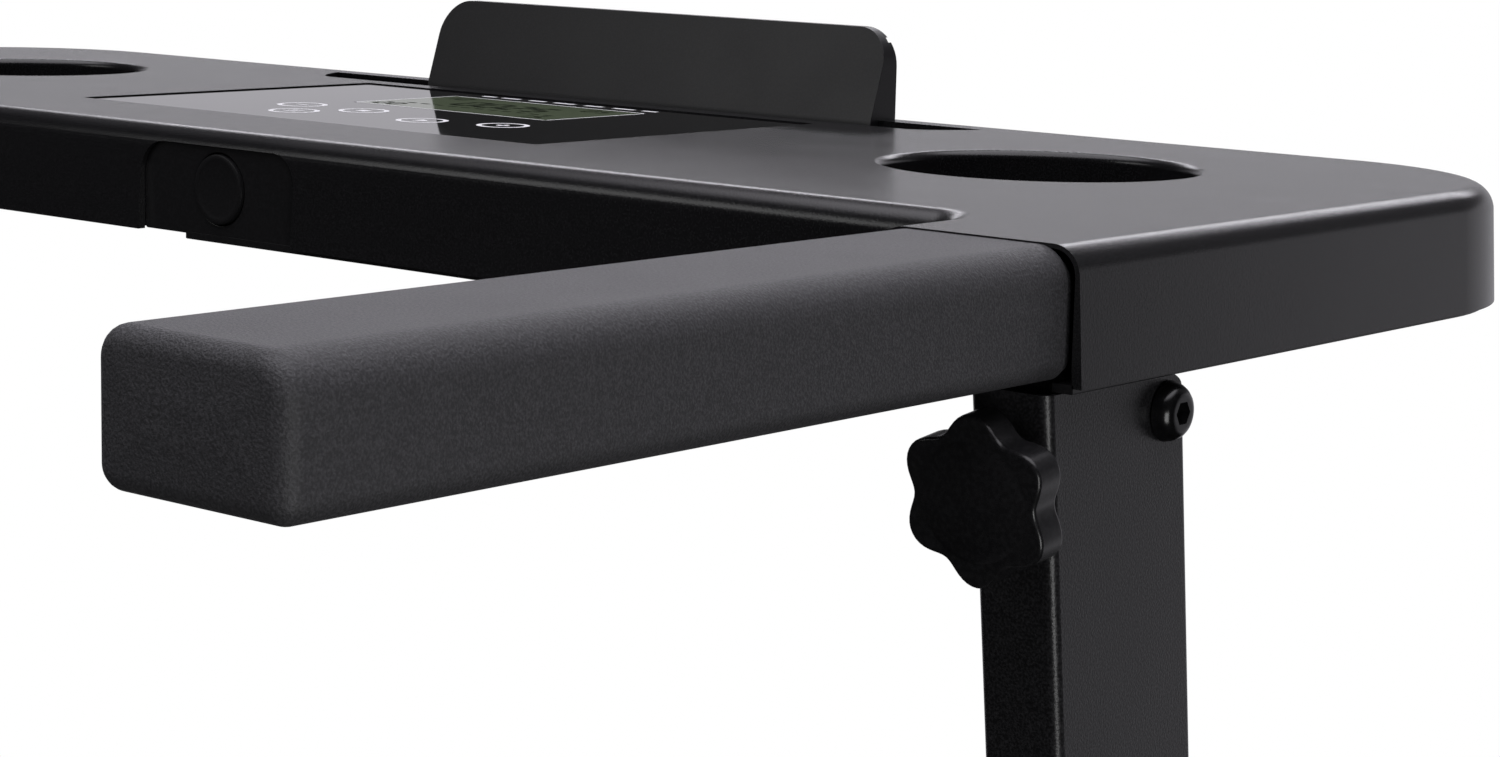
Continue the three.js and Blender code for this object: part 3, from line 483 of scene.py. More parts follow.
def tray_solid(inset, low, top, edge):
    """The space inside the tray's outline. The walls lean out below the rounded top edge."""
    past_rear = REAR - 20 * MM  # the ends of the wings are cut square later
    lean = FLARE / (TOP - EDGE - BOTTOM)
    profile = [(inset - lean * (TOP - EDGE - low), low), (inset, top - edge)]
    for a, b in arc((inset + edge, top - edge), edge, math.pi, QUARTER, 10)[1:]:
        profile.append((a, b))
    return loft([tray_loop(a, b, past_rear) for a, b in profile])


def cup_cutter(side):
    """A well with a round floor edge and a soft flared rim."""
    lip = CUP_LIP
    floor_edge = 5 * MM  # radius
    profile = [(0, -CUP_DEPTH)]
    profile += arc(
        (CUP_RADIUS - floor_edge, floor_edge - CUP_DEPTH), floor_edge, -QUARTER, 0, 6
    )
    profile += arc((CUP_RADIUS + lip, -lip), lip, math.pi, QUARTER, 8)
    profile += [(CUP_RADIUS + lip, lip), (0, lip)]
    return turned("z", profile, Vector((side * CUP_X, CUP_Y, TOP)), 96)


def cup_post(side):
    """What the hollow leaves around a well, as its wall and floor."""
    thick = 2 * MM
    radius = CUP_RADIUS + thick
    profile = [(0, -CUP_DEPTH - thick), (radius, -CUP_DEPTH - thick), (radius, 0), (0, 0)]
    return turned("z", profile, Vector((side * CUP_X, CUP_Y, TOP)), 96)


LENS_LOW, LENS_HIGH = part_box("display_lens")
LCD_LOW, LCD_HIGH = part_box("lcd_module")
FIT = 0.35 * MM  # around and above the display sheet


def lens_seat():
    """The recess that the display sheet drops into."""
    low = (LENS_LOW.x - FIT, LENS_LOW.y - FIT)
    high = (LENS_HIGH.x + FIT, LENS_HIGH.y + FIT)
    return prism("z", rounded_rect(low, high, 1.8 * MM), LENS_LOW.z - 0.3 * MM, TOP + 1 * MM)


CHANNEL_HALF = 143 * MM
CHANNEL_REAR = REAR + 208.5 * MM
CHANNEL_FRONT = REAR + 227 * MM


def rest_channel():
    """A shallow channel whose near edge swings in to meet the far edge at both ends."""
    swing = 17 * MM
    steps = 16

    def near_edge(x):
        t = min(1, (CHANNEL_HALF - abs(x)) / swing)
        return CHANNEL_FRONT - (CHANNEL_FRONT - CHANNEL_REAR) * math.sin(t * QUARTER) ** 0.8

    xs = [-CHANNEL_HALF + swing * i / steps for i in range(1, steps + 1)]
    xs += [-x for x in reversed(xs)]
    outline = [(x, near_edge(x)) for x in xs]
    outline += [(CHANNEL_HALF, CHANNEL_FRONT), (-CHANNEL_HALF, CHANNEL_FRONT)]
    return prism("z", outline, TOP - 3 * MM, TOP + 1 * MM)


KEY_LOW, KEY_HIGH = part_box("safety_key")
KEY_X = (KEY_LOW.x + KEY_HIGH.x) / 2
KEY_Z = (KEY_LOW.z + KEY_HIGH.z) / 2
SOCKET_HALF = 32.5 * MM
SOCKET_GAP = 0.05 * MM  # around the insert
SOCKET_SETBACK = 1.2 * MM  # from the apron to the insert's face
SOCKET_DEPTH = 5 * MM


def key_recess(grow=0.0):
    """A rounded square let into the apron, open at the bottom edge."""
    low = (KEY_X - SOCKET_HALF - grow, BOTTOM - 20 * MM)
    high = (KEY_X + SOCKET_HALF + grow, TOP - 4.6 * MM + grow)
    return prism("y", rounded_rect(low, high, 9 * MM), APRON - 5 * MM, APRON + SOCKET_DEPTH)


FOAM_LOW, FOAM_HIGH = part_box("right_handrail_foam")


def wing_mouth(side):
    """The open end of a wing, which the foam fills. The outer wall reaches lowest."""
    low = (FOAM_LOW.x - 1 * MM, BOTTOM - 5 * MM)
    high = (HALF - 1.2 * MM, TOP - 1 * MM)
    outline = rounded_rect(low, high, 5.8 * MM)
    return mirrored(prism("y", outline, REAR - 5 * MM, REAR + 8 * MM), side)


def console_shell():
    """The tray, thicker where the display, the wells and the tablet channel sink into it."""
    shell = from_bmesh("console_shell", tray_solid(0, BOTTOM + 1.3 * MM, TOP, EDGE))
    cavity = from_bmesh(
        "cavity", tray_solid(WALL, BOTTOM - 3 * MM, TOP - WALL, EDGE - WALL)
    )
    under_channel = TOP - 5.5 * MM
    under_lens = TOP - 3.5 * MM
    beside_lens = 3 * MM
    cut(
        cavity,
        box((-CHANNEL_HALF, CHANNEL_REAR - WALL, under_channel), (CHANNEL_HALF, FRONT, TOP)),
        box(
            (LENS_LOW.x - beside_lens, LENS_LOW.y - beside_lens, under_lens),
            (LENS_HIGH.x + beside_lens, LENS_HIGH.y + beside_lens, TOP),
        ),
        cup_post(1),
        cup_post(-1),
    )
    behind = box((-HALF - WALL, REAR - 40 * MM, BOTTOM - 5 * MM), (HALF + WALL, REAR, TOP + WALL))
    window = box(
        (LCD_LOW.x, LCD_LOW.y, LCD_LOW.z - 2 * MM), (LCD_HIGH.x, LCD_HIGH.y, TOP)
    )
    cut(
        shell, take_bmesh(cavity), behind, cup_cutter(1), cup_cutter(-1), lens_seat(), window,
        rest_channel(), key_recess(), wing_mouth(1), wing_mouth(-1),
    )
    shell.data.materials.append(console_plastic)
    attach(shell, "console")
    soften(shell)
    return stand_in(shell, "console_plastic", "console_top_shell")


console_shell()


def bottom_cover():
    """A plate inside the shell's wall. Right of the key it reaches out to the apron."""
    inset = WALL - 0.2 * MM
    low = [tray_loop(inset - FLARE, BOTTOM + 0.3 * MM), tray_loop(inset - FLARE, BOTTOM + 2 * MM)]
    bottom = tray_loop(inset - FLARE + 0.3 * MM, BOTTOM)
    cover = from_bmesh("bottom_cover", loft([bottom, *low]))
    step_x = KEY_X - 14 * MM
    # Left of the step the cover ends inside the apron. A slot in each wing lets its
    # pivot tongue through.
    setback = box((-HALF + WING_WIDTH, APRON - 5 * MM, BOTTOM - 1 * MM),
                  (step_x, APRON + 12 * MM, BOTTOM + 5 * MM))
    tools = [setback]
    for _, side in SIDES:
        tongue = box((HALF - 26 * MM, REAR - 5 * MM, BOTTOM - 1 * MM),
                     (HALF - 6 * MM, CONSOLE_PIVOT.y - 9 * MM, BOTTOM + 5 * MM))
        tools.append(mirrored(tongue, side))
    cut(cover, *tools)
    cover.data.materials.append(dark_plastic)
    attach(cover, "console")
    soften(cover)
    return stand_in(cover, "dark_plastic", "console_bottom_cover")


bottom_cover()


# ---- Foam handrails ----


FOAM_RISE = 0.9 * MM  # the free part stands this much above the part that the wing holds
FOAM_TUCK = 3 * MM  # how far the wing's mouth holds it


def foam_section(shrink, y, rise=FOAM_RISE):
    """The sleeve's outline at one place. Its outer top edge is the roundest."""
    low = (FOAM_LOW.x + shrink, FOAM_LOW.z + shrink)
    high = (FOAM_HIGH.x - shrink, FOAM_HIGH.z + rise - shrink)
    points = []
    for turn, radius in ((-1, 5 * MM), (0, 8 * MM), (1, 6 * MM), (2, 5 * MM)):
        radius = max(radius - shrink, 1 * MM)
        x = high[0] - radius if turn in (-1, 0) else low[0] + radius
        z = high[1] - radius if turn in (0, 1) else low[1] + radius
        points += arc((x, z), radius, turn * QUARTER, (turn + 1) * QUARTER, 8)
    return [Vector((x, y, z)) for x, z in points]


def foam_handrail(side_name, side):
    """A soft block with round edges and a barely domed end."""
    end_round = 4.2 * MM
    steps = 40
    mouth = FOAM_HIGH.y - FOAM_TUCK
    span = mouth - FOAM_LOW.y - end_round
    loops = [foam_section(1 * MM, FOAM_HIGH.y, 0), foam_section(1 * MM, mouth + 0.4 * MM, 0)]
    loops += [foam_section(0, mouth - span * i / steps) for i in range(steps + 1)]
    for a, b in arc((0, 0), end_round, 0, QUARTER, 7)[1:]:
        loops.append(foam_section(end_round - a, FOAM_LOW.y + end_round - b))
    for extra in (2, 4, 6, 8):
        loops.append(foam_section(end_round + extra * MM, FOAM_LOW.y - 0.06 * extra * MM))
    foam = from_bmesh(f"{side_name}_foam_grip", mirrored(loft(loops), side), foam_skin, "console")
    soften(foam)
    return stand_in(foam, "foam", f"{side_name}_handrail_foam")


for side_name, side in SIDES:
    foam_handrail(side_name, side)


# ---- Display ----


def flat_patch(bm, outline, z, material_index):
    """One level face that looks up."""
    face = bm.faces.new([bm.verts.new((x, y, z)) for x, y in outline])
    face.material_index = material_index
    if face.normal.z < 0:
        face.normal_flip()


def display_sheet():
    """The glossy sheet with its printed ring marks and the display's window."""
    edge = 0.3 * MM

    def loop(inset, z):
        low = (LENS_LOW.x + inset, LENS_LOW.y + inset)
        high = (LENS_HIGH.x - inset, LENS_HIGH.y - inset)
        return [Vector((x, y, z)) for x, y in rounded_rect(low, high, 1.5 * MM)]

    loops = [loop(0, LENS_LOW.z), loop(0, TOP - edge - FIT), loop(edge, TOP - FIT)]
    return solid("display_sheet", loft(loops), panel_gloss, "console")


stand_in(display_sheet(), "gloss_panel", "display_lens")

MARK_Z = TOP - FIT + 0.03 * MM  # prints lie just above the sheet


def annulus(bm, centre, radius, width, z, steps=40):
    for i in range(steps):
        a, b = (2 * math.pi * (i + k) / steps for k in (0, 1))
        quad = [(radius, a), (radius + width, a), (radius + width, b), (radius, b)]
        points = [(centre[0] + r * math.cos(t), centre[1] + r * math.sin(t)) for r, t in quad]
        flat_patch(bm, points, z, 0)


def bar(bm, centre, width, height, z):
    x, y = centre
    points = [(x - width / 2, y - height / 2), (x + width / 2, y - height / 2),
              (x + width / 2, y + height / 2), (x - width / 2, y + height / 2)]
    flat_patch(bm, points, z, 0)


def touch_marks():
    """Five ringed touch keys (slower, menu, stop, start, faster) and the display's labels."""
    bm = bmesh.new()
    slower, menu, stop, start, faster = [
        (x * MM, REAR + y * MM)
        for x, y in ((-43, 119), (-27, 101), (-15, 119), (21, 109), (47, 117))
    ]
    ring_radius = 6.4 * MM
    ring_width = 1.6 * MM
    for centre in (slower, menu, stop, start, faster):
        annulus(bm, centre, ring_radius, ring_width, MARK_Z)
    bar(bm, slower, 5 * MM, 1.2 * MM, MARK_Z)
    bar(bm, faster, 5 * MM, 1.2 * MM, MARK_Z)
    bar(bm, faster, 1.2 * MM, 5 * MM, MARK_Z + 0.01 * MM)
    bar(bm, stop, 4 * MM, 4 * MM, MARK_Z)
    for step in (-2, 0, 2):
        bar(bm, (menu[0], menu[1] + step * MM), 5.5 * MM, 0.9 * MM, MARK_Z)
    x, y = start
    triangle = [(x - 2 * MM, y - 2.6 * MM), (x + 3 * MM, y), (x - 2 * MM, y + 2.6 * MM)]
    flat_patch(bm, triangle, MARK_Z, 0)
    label_y = REAR + 194 * MM
    for x, length in ((-34, 6), (-24, 8), (-12, 7), (0, 9), (13, 8), (26, 9), (37, 6)):
        bar(bm, (x * MM, label_y), length * MM, 2.2 * MM, MARK_Z)
    marks = from_bmesh("touch_marks", bm, print_white, "console")
    return marks


touch_marks()


def lcd_picture():
    """The reflective display seen through the sheet, framed in white."""
    bm = bmesh.new()
    x0, x1, y0, y1 = LCD_LOW.x, LCD_HIGH.x, LCD_LOW.y, LCD_HIGH.y
    z = MARK_Z
    flat_patch(bm, [(x0, y0), (x1, y0), (x1, y1), (x0, y1)], z, 0)
    width = 0.8 * MM
    for a, b in (((x0, y0), (x1, y0 + width)), ((x0, y1 - width), (x1, y1)),
                 ((x0, y0), (x0 + width, y1)), ((x1 - width, y0), (x1, y1))):
        flat_patch(bm, [a, (b[0], a[1]), b, (a[0], b[1])], z + 0.01 * MM, 1)
    return from_bmesh("lcd_picture", bm, [lcd_back, print_white], "console")


lcd_picture()

SEGMENTS = {
    "top": (0, 1), "upper_left": (-1, 0.5), "upper_right": (1, 0.5), "middle": (0, 0),
    "lower_left": (-1, -0.5), "lower_right": (1, -0.5), "bottom": (0, -1),
}
DIGITS = {
    0: ("top", "upper_left", "upper_right", "lower_left", "lower_right", "bottom"),
    1: ("upper_right", "lower_right"),
    2: ("top", "upper_right", "middle", "lower_left", "bottom"),
    5: ("top", "upper_left", "middle", "lower_right", "bottom"),
}


def digit(bm, value, centre, size, z):
    """A seven-segment figure, size tall."""
    half = size / 2
    thick = size * 0.2
    for name in DIGITS[value]:
        across, up = SEGMENTS[name]
        place = (centre[0] + across * half * 0.5, centre[1] + up * half)
        upright_bar = across != 0
        length = half * 0.85
        bar(bm, place, thick if upright_bar else length, length if upright_bar else thick, z)


def lcd_figures():
    """A large time, two figures in each corner and a row of blocks."""
    bm = bmesh.new()
    z = MARK_Z + 0.02 * MM
    middle_y = (LCD_LOW.y + LCD_HIGH.y) / 2
    for i, value in enumerate((0, 0, 2, 5)):
        digit(bm, value, ((-15 + i * 10) * MM, middle_y + 3 * MM), 13 * MM, z)
    pairs = (((-36, 15), (1, 0)), ((26, 15), (0, 5)), ((-36, -16), (2, 0)), ((26, -16), (1, 5)))
    for (x, y), values in pairs:
        for i, value in enumerate(values):
            centre = ((x + i * 6) * MM, middle_y + y * MM)
            digit(bm, value, centre, 6.5 * MM, z)
    for x in range(-30, 31, 6):
        bar(bm, (x * MM, middle_y - 9 * MM), 3.5 * MM, 1.6 * MM, z)
    return from_bmesh("lcd_figures", bm, lcd_ink, "console")


lcd_figures()


# ---- Tablet rest ----

REST_LOW, REST_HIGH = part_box("tablet_rest")


def tablet_rest():
    """A leaning plate with a wedge behind each end, round at its top corners."""
    x0, x1 = REST_LOW.x, REST_HIGH.x
    foot, back, top = REST_LOW.y, REST_HIGH.y, REST_HIGH.z
    thick = 2.6 * MM
    crest = 3.6 * MM
    seat = TOP - 2.7 * MM  # just above the channel's floor
    side = [(foot, seat), (foot + 3.6 * MM, seat), (back, TOP),
            (back, top), (back - crest, top), (foot + 0.4 * MM, TOP)]
    behind = [(foot + thick + 2 * MM, TOP - 5 * MM), (back + 5 * MM, TOP - 5 * MM),
              (back + 5 * MM, top - 1.2 * thick), (back - crest + thick, top - 1.2 * thick)]
    rest = from_bmesh("tablet_plate", prism("x", side, x0, x1))
    cut(rest, prism("x", behind, x0 + thick, x1 - thick))
    corner = 12 * MM
    face = [(x0, TOP - 10 * MM), (x1, TOP - 10 * MM)]
    face += arc((x1 - corner, top - corner), corner, 0, QUARTER, 12)
    face += arc((x0 + corner, top - corner), corner, QUARTER, 2 * QUARTER, 12)
    combine(rest, "INTERSECT", prism("y", face, foot - 10 * MM, back + 10 * MM))
    rest.data.materials.append(dark_plastic)
    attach(rest, "console")
    soften(rest, 0.9 * MM, 3, 35)
    return stand_in(rest, "dark_plastic", "tablet_rest")


tablet_rest()


# ---- Safety key and its socket ----


def key_socket():
    """The insert in the apron's rounded recess, with a round well for the key."""
    plate = from_bmesh("key_socket", key_recess(-SOCKET_GAP), dark_plastic, "console")
    front = APRON + SOCKET_SETBACK
    well = 10.4 * MM  # radius
    outside = (-HALF, APRON - 10 * MM, BOTTOM - 30 * MM)
    trims = [
        box(outside, (HALF, front, TOP)),
        box(outside, (HALF, FRONT, BOTTOM + 1.5 * MM)),
        turned("y", [(0, -3 * MM), (well, -3 * MM), (well, 10 * MM), (0, 10 * MM)],
               Vector((KEY_X, front, KEY_Z)), 64),
    ]
    cut(plate, *trims)
    soften(plate, 0.4 * MM, 2)
    return stand_in(plate, "dark_plastic", "safety_key_socket")


def safety_key():
    """A round magnet holder with a raised rim and a dished face."""
    profile = [(0, 0.3), (7.4, 0.3), (8.3, 0.05), (9.3, 0.0), (9.9, 0.2), (10.0, 0.6),
               (10.0, 9.6), (0, 9.8)]
    profile = [(r * MM, along * MM) for r, along in profile]
    bm = turned("y", profile, Vector((KEY_X, KEY_LOW.y, KEY_Z)), 64)
    return stand_in(solid("key_disc", bm, dark_plastic, "key"), "dark_plastic", "safety_key")


key_socket()
safety_key()


# ---- Uprights ----

UPRIGHT_X = 316.5 * MM
TUBE_HALF = (10.5 * MM, 27.25 * MM)
TUBE_ROUND = 2.4 * MM
TUBE_WALL = 1.5 * MM
TO_BASE = Matrix.Translation(BASE_PIVOT) @ Matrix.Rotation(RAKE, 4, "X")
PIVOT_LOCAL = TO_BASE.inverted() @ CONSOLE_PIVOT
FACE_GAP = 8.6 * MM  # from the console's pivot to the upright's front face


def upright_tube(side_name, side):
    """A tube with round corners, level at the top and rounded in front about the pivot."""
    top = PIVOT_LOCAL.z + 40 * MM
    half_x, half_y = TUBE_HALF

    def tube(shrink, low, high):
        outline = rounded_rect(
            (UPRIGHT_X - half_x + shrink, shrink - half_y),
            (UPRIGHT_X + half_x - shrink, half_y - shrink),
            TUBE_ROUND - shrink,
        )
        return prism("z", outline, low, high)

    body = from_bmesh("tube", tube(0, -25 * MM, top))
    cut(body, tube(TUBE_WALL, -30 * MM, top + 5 * MM))
    body.data.transform(TO_BASE)
    lid = box((0, REAR - 50 * MM, CONSOLE_PIVOT.z + FACE_GAP), (HALF, FRONT, TOP))
    pivot_y, pivot_z = CONSOLE_PIVOT.y, CONSOLE_PIVOT.z
    corner = from_bmesh("corner", box((HALF - 40 * MM, pivot_y, pivot_z),
                                      (HALF, pivot_y + 20 * MM, pivot_z + 20 * MM)))
    reach = 50 * MM
    drum = turned("x", [(0, -reach), (FACE_GAP, -reach), (FACE_GAP, reach), (0, reach)],
                  Vector((HALF - 20 * MM, pivot_y, pivot_z)), 64)
    cut(corner, drum)
    cut(body, lid, take_bmesh(corner))
    bm = mirrored(take_bmesh(body), side)
    tube_piece = solid(f"{side_name}_upright_tube", bm, powder_coat, "uprights")
    return stand_in(tube_piece, "painted_steel", f"{side_name}_upright")


for side_name, side in SIDES:
    upright_tube(side_name, side)


# ---- Star knobs ----


def star_knob(stud):
    """A six-lobed knob with a domed cap. Its seat is at z = 0 and it faces +Z."""
    lobes = 6
    steps = 16 * lobes
    hub = 5.5 * MM
    cap = 14 * MM

    def star(shrink, z, mean=17.8 * MM, swing=1.8 * MM):
        points = []
        for i in range(steps):
            angle = 2 * math.pi * i / steps
            wave = math.cos(lobes * (angle - QUARTER))
            radius = mean + swing * (wave - 0.12 * (wave * wave - 0.5)) - shrink
            points.append(Vector((radius * math.cos(angle), radius * math.sin(angle), z)))
        return points

    def circle(radius, z):
        return ring("z", radius, z, Vector(), steps)

    edge = 1 * MM
    thread = 4 * MM
    chamfer = 0.4 * MM
    button = 13.4 * MM
    dome = 1.2 * MM
    loops = [circle(0.02 * MM, -stud), circle(thread - chamfer, -stud)]
    loops += [circle(thread, chamfer - stud), circle(thread, -0.01 * MM)]
    loops += [circle(9.5 * MM, 0), circle(10 * MM, 0.5 * MM)]
    loops += [circle(11.5 * MM, hub - 0.5 * MM), star(3 * MM, hub)]
    loops += [star(edge - a, hub + edge - b) for a, b in arc((0, 0), edge, QUARTER, 0, 5)]
    loops += [star(edge - a, cap - edge + b) for a, b in arc((0, 0), edge, 0, QUARTER, 6)]
    loops += [circle(14 * MM, cap), circle(button, cap + 0.15 * MM)]
    for share in (0.95, 0.88, 0.75, 0.6, 0.4, 0.2, 0.01):
        loops.append(circle(button * share, cap + 0.3 * MM + dome * (1 - share * share)))
    return loft(loops)


def place_knob(name, node, seat, facing, stud, body):
    """Puts a knob with its seat at a point, facing a direction, with a lobe upwards."""
    bm = star_knob(stud)
    side = Vector((0, 0, 1)).cross(facing).normalized()
    up = facing.cross(side).normalized()
    turn = Matrix((side, up, facing)).transposed().to_4x4()
    bm.transform(Matrix.Translation(seat) @ turn)
    return stand_in(solid(name, bm, knob_plastic, body), "dark_plastic", node)


for side_name, side in SIDES:
    joint = JOINTS[f"{side_name}_clamp_turn"]
    place_knob(f"{side_name}_star_knob", f"{side_name}_clamp_knob", Vector(joint["pos_m"]),
               Vector(joint["axis"]), 4.5 * MM, f"{side_name}_clamp")
    joint = JOINTS[f"{side_name}_lock_turn"]
    seat_x = side * (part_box("right_upright_bracket")[1].x + CLEARANCE)
    seat = Vector((seat_x, joint["pos_m"][1], joint["pos_m"][2]))
    place_knob(f"{side_name}_base_knob", f"{side_name}_lock_knob", seat,
               Vector((side, 0, 0)), 5 * MM, f"{side_name}_lock")


# ---- Bolts ----


def socket_bolt(name, node, body, side, head_radius, head_height, key_size):
    """A button head with a hexagon socket, standing on the outer face of what it holds."""
    low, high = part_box(node)
    centre = Vector((0, (low.y + high.y) / 2, (low.z + high.z) / 2))
    outer = max(abs(low.x), abs(high.x))
    inner = min(abs(low.x), abs(high.x))
    seat = outer - head_height
    shank = 0.57 * head_radius
    profile = [(0, inner), (shank, inner), (shank, seat - 0.1 * MM), (0.96 * head_radius, seat),
               (head_radius, seat + 0.08 * head_height)]
    for share in (0.3, 0.5, 0.7, 0.85, 0.95):  # of the way over the rounded head
        up = 0.08 + 0.92 * math.sin(share * QUARTER)
        profile.append((head_radius * (1 - 0.46 * share ** 1.6), seat + up * head_height))
    profile += [(0.5 * head_radius, outer), (0, outer)]
    bolt = from_bmesh(name, turned("x", profile, centre, 64))
    socket_floor = ring("x", key_size / math.sqrt(3), outer - 0.62 * head_height, centre, 6)
    socket_mouth = ring("x", key_size / math.sqrt(3), outer + 1 * MM, centre, 6)
    cut(bolt, loft([socket_floor, socket_mouth]))
    piece = solid(name, mirrored(take_bmesh(bolt), side), black_oxide, body)
    return stand_in(piece, "black_steel", node)


for side_name, side in SIDES:
    socket_bolt(f"{side_name}_pivot_screw", f"{side_name}_console_bolt", "uprights", side,
                head_radius=7 * MM, head_height=4.4 * MM, key_size=5 * MM)
    socket_bolt(f"{side_name}_hinge_screw", f"{side_name}_base_bolt", "base", side,
                head_radius=9 * MM, head_height=5 * MM, key_size=6 * MM)


# ---- Deck ----

HOOD_LOW, HOOD_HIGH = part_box("motor_hood")


def hood_outline(inset):
    """The hood from the side: an upright rear wall, a broad crown and a sloping nose."""
    rear, front = HOOD_LOW.y + inset, HOOD_HIGH.y - inset
    low, crown = HOOD_LOW.z - inset, HOOD_HIGH.z - inset
    shoulder = crown - 22 * MM
    corners = [
        (rear, low), (rear, crown - 66 * MM), (rear + 16 * MM, shoulder),
        (rear + 45 * MM, crown - 6 * MM), (rear + 95 * MM, crown),
        (rear + 150 * MM, crown - 3 * MM), (front - 42 * MM, shoulder),
        (front - 10 * MM, crown - 44 * MM), (front, crown - 50 * MM), (front, low),
    ]
    return rounded_polygon(corners, 24 * MM)


def motor_hood():
    """A shell with round ends, a slot over the belt, a window and two rows of vents."""
    half = HOOD_HIGH.x
    solid_hood = prism("x", hood_outline(0), -half, half)
    hood = from_bmesh("motor_hood_shell", solid_hood, console_plastic, "base")
    soften(hood, 5 * MM, 5, 60)
    through = 5 * MM  # past each side of the front wall
    lap = 2.5 * MM  # over the power panel's edge
    panel_low, panel_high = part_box("power_panel")
    window = box((panel_low.x + lap, HOOD_HIGH.y - through, panel_low.z + lap),
                 (panel_high.x - lap, HOOD_HIGH.y + through, panel_high.z - lap))
    belt_low, belt_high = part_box("running_belt")
    beside_belt = 6 * MM
    slot = box((belt_low.x - beside_belt, HOOD_LOW.y - 1 * MM, HOOD_LOW.z - 1 * MM),
               (belt_high.x + beside_belt, HOOD_LOW.y + 12 * MM, belt_high.z + 4 * MM))
    inner = prism("x", hood_outline(DECK_WALL), DECK_WALL - half, half - DECK_WALL)
    cut(hood, inner, slot, window)
    rows_middle = -75 * MM
    first, pitch, half_width = 70 * MM, 14 * MM, 2 * MM
    low, high = HOOD_LOW.z + 14 * MM, HOOD_LOW.z + 38 * MM
    for side in (-1, 1):
        for i in range(7):
            x = rows_middle + side * (first + pitch * i)
            vent = rounded_rect((x - half_width, low), (x + half_width, high), 1.9 * MM, 3)
            cut(hood, prism("y", vent, HOOD_HIGH.y - through, HOOD_HIGH.y + through))
    return stand_in(soften(hood), "console_plastic", "motor_hood")


motor_hood()


def foot_rail(side_name, side):
    """A channel with round edges, standing on the frame rail by a rib inside it."""
    low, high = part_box("right_foot_rail")
    wall = DECK_WALL
    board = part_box("running_deck")[1].z + CLEARANCE
    rail_low, rail_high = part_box("right_frame_rail")
    rib = (rail_low.x + rail_high.x) / 2
    rib_foot = rail_high.z + CLEARANCE
    under = high.z - wall
    outer_round, inner_round = 6 * MM, 3 * MM
    outer = arc((high.x - outer_round, high.z - outer_round), outer_round, 0, QUARTER, 6)
    inner = arc((low.x + inner_round, high.z - inner_round), inner_round, QUARTER, 2 * QUARTER, 5)
    outline = [(low.x, board), (low.x + wall, board), (low.x + wall, under), (rib - wall, under),
               (rib - wall, rib_foot), (rib + wall, rib_foot), (rib + wall, under),
               (high.x - wall, under), (high.x - wall, low.z), (high.x, low.z), *outer, *inner]
    bm = mirrored(prism("y", outline, low.y, high.y), side)
    rail = solid(f"{side_name}_foot_rail_cover", bm, dark_plastic, "base")
    return stand_in(rail, "dark_plastic", f"{side_name}_foot_rail")


def grip_strip(side_name, side):
    """Raised ribs along the foot rail's top, with a plain border at each end."""
    low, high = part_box("right_foot_rail")
    ribs, pitch = 9, 6 * MM
    first = (low.x + high.x) / 2 - pitch * (ribs - 1) / 2
    rear_border, front_border = 25 * MM, 12 * MM

    def loop(x, half_width, inset, radius, z):
        flat = rounded_rect((x - half_width, low.y + rear_border + inset),
                            (x + half_width, high.y - front_border - inset), radius, 3)
        return [Vector((a, b, z)) for a, b in flat]

    pieces = []
    for i in range(ribs):
        x = first + pitch * i
        foot = loop(x, 1.4 * MM, 0, 1.3 * MM, high.z - 0.2 * MM)
        crown = loop(x, 0.8 * MM, 1 * MM, 0.7 * MM, high.z + 0.7 * MM)
        pieces.append(loft([foot, crown]))
    bm = mirrored(merged(pieces), side)
    strip = solid(f"{side_name}_grip_ribs", bm, rubber, "base")
    return strip


def rear_end_cap(side_name, side):
    """A hollow cap with round rear corners and soft edges."""
    low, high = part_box("right_rear_end_cap")
    corner = 14 * MM
    wall = 3 * MM
    outline = [(high.x, high.y), (low.x, high.y)]
    outline += arc((low.x + corner, low.y + corner), corner, 2 * QUARTER, 3 * QUARTER, 8)
    outline += arc((high.x - corner, low.y + corner), corner, 3 * QUARTER, 4 * QUARTER, 8)
    cap = from_bmesh("cap", prism("z", outline, low.z, high.z))
    soften(cap, 2.5 * MM, 4, 60)
    past = 1 * MM
    front_edge = box((low.x - past, high.y - 3 * MM, low.z - past),
                     (high.x + past, high.y + 3 * MM, high.z + past))
    hollow = box((low.x + wall, low.y + wall, low.z + wall),
                 (high.x - wall, high.y + past, high.z - wall))
    axle_low, axle_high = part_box("rear_axle")
    rail_low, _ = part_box("right_frame_rail")
    middle = (axle_low.z + axle_high.z) / 2
    axle_room = 12 * MM
    axle_slot = box((low.x - past, low.y + 28 * MM, middle - axle_room),
                    (rail_low.x - CLEARANCE, high.y + past, middle + axle_room))
    cut(cap, front_edge, hollow, axle_slot)
    bm = mirrored(take_bmesh(cap), side)
    piece = solid(f"{side_name}_end_cap_cover", bm, dark_plastic, "base")
    return stand_in(piece, "dark_plastic", f"{side_name}_rear_end_cap")


def levelling_foot(side_name, place):
    """A rubber pad with a round foot edge and a grooved waist."""
    low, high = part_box(f"{side_name}_{place}_foot")
    centre = Vector(((low.x + high.x) / 2, (low.y + high.y) / 2, low.z))
    radius = (high.x - low.x) / 2
    height = high.z - low.z
    stem = 8 * MM
    waist = radius - 1.2 * MM
    profile = [(0, 0), (radius - 1.5 * MM, 0), (radius, 1.5 * MM), (radius, 4 * MM),
               (waist, 5.5 * MM), (waist, 7 * MM), (radius - 0.4 * MM, 8 * MM),
               (radius - 2 * MM, 12.5 * MM), (radius - 4 * MM, 14 * MM), (stem, 15.5 * MM),
               (stem, height), (0, height)]
    pad = solid(f"{side_name}_{place}_foot_pad", turned("z", profile, centre, 48), rubber, "base")
    return stand_in(pad, "rubber", f"{side_name}_{place}_foot")


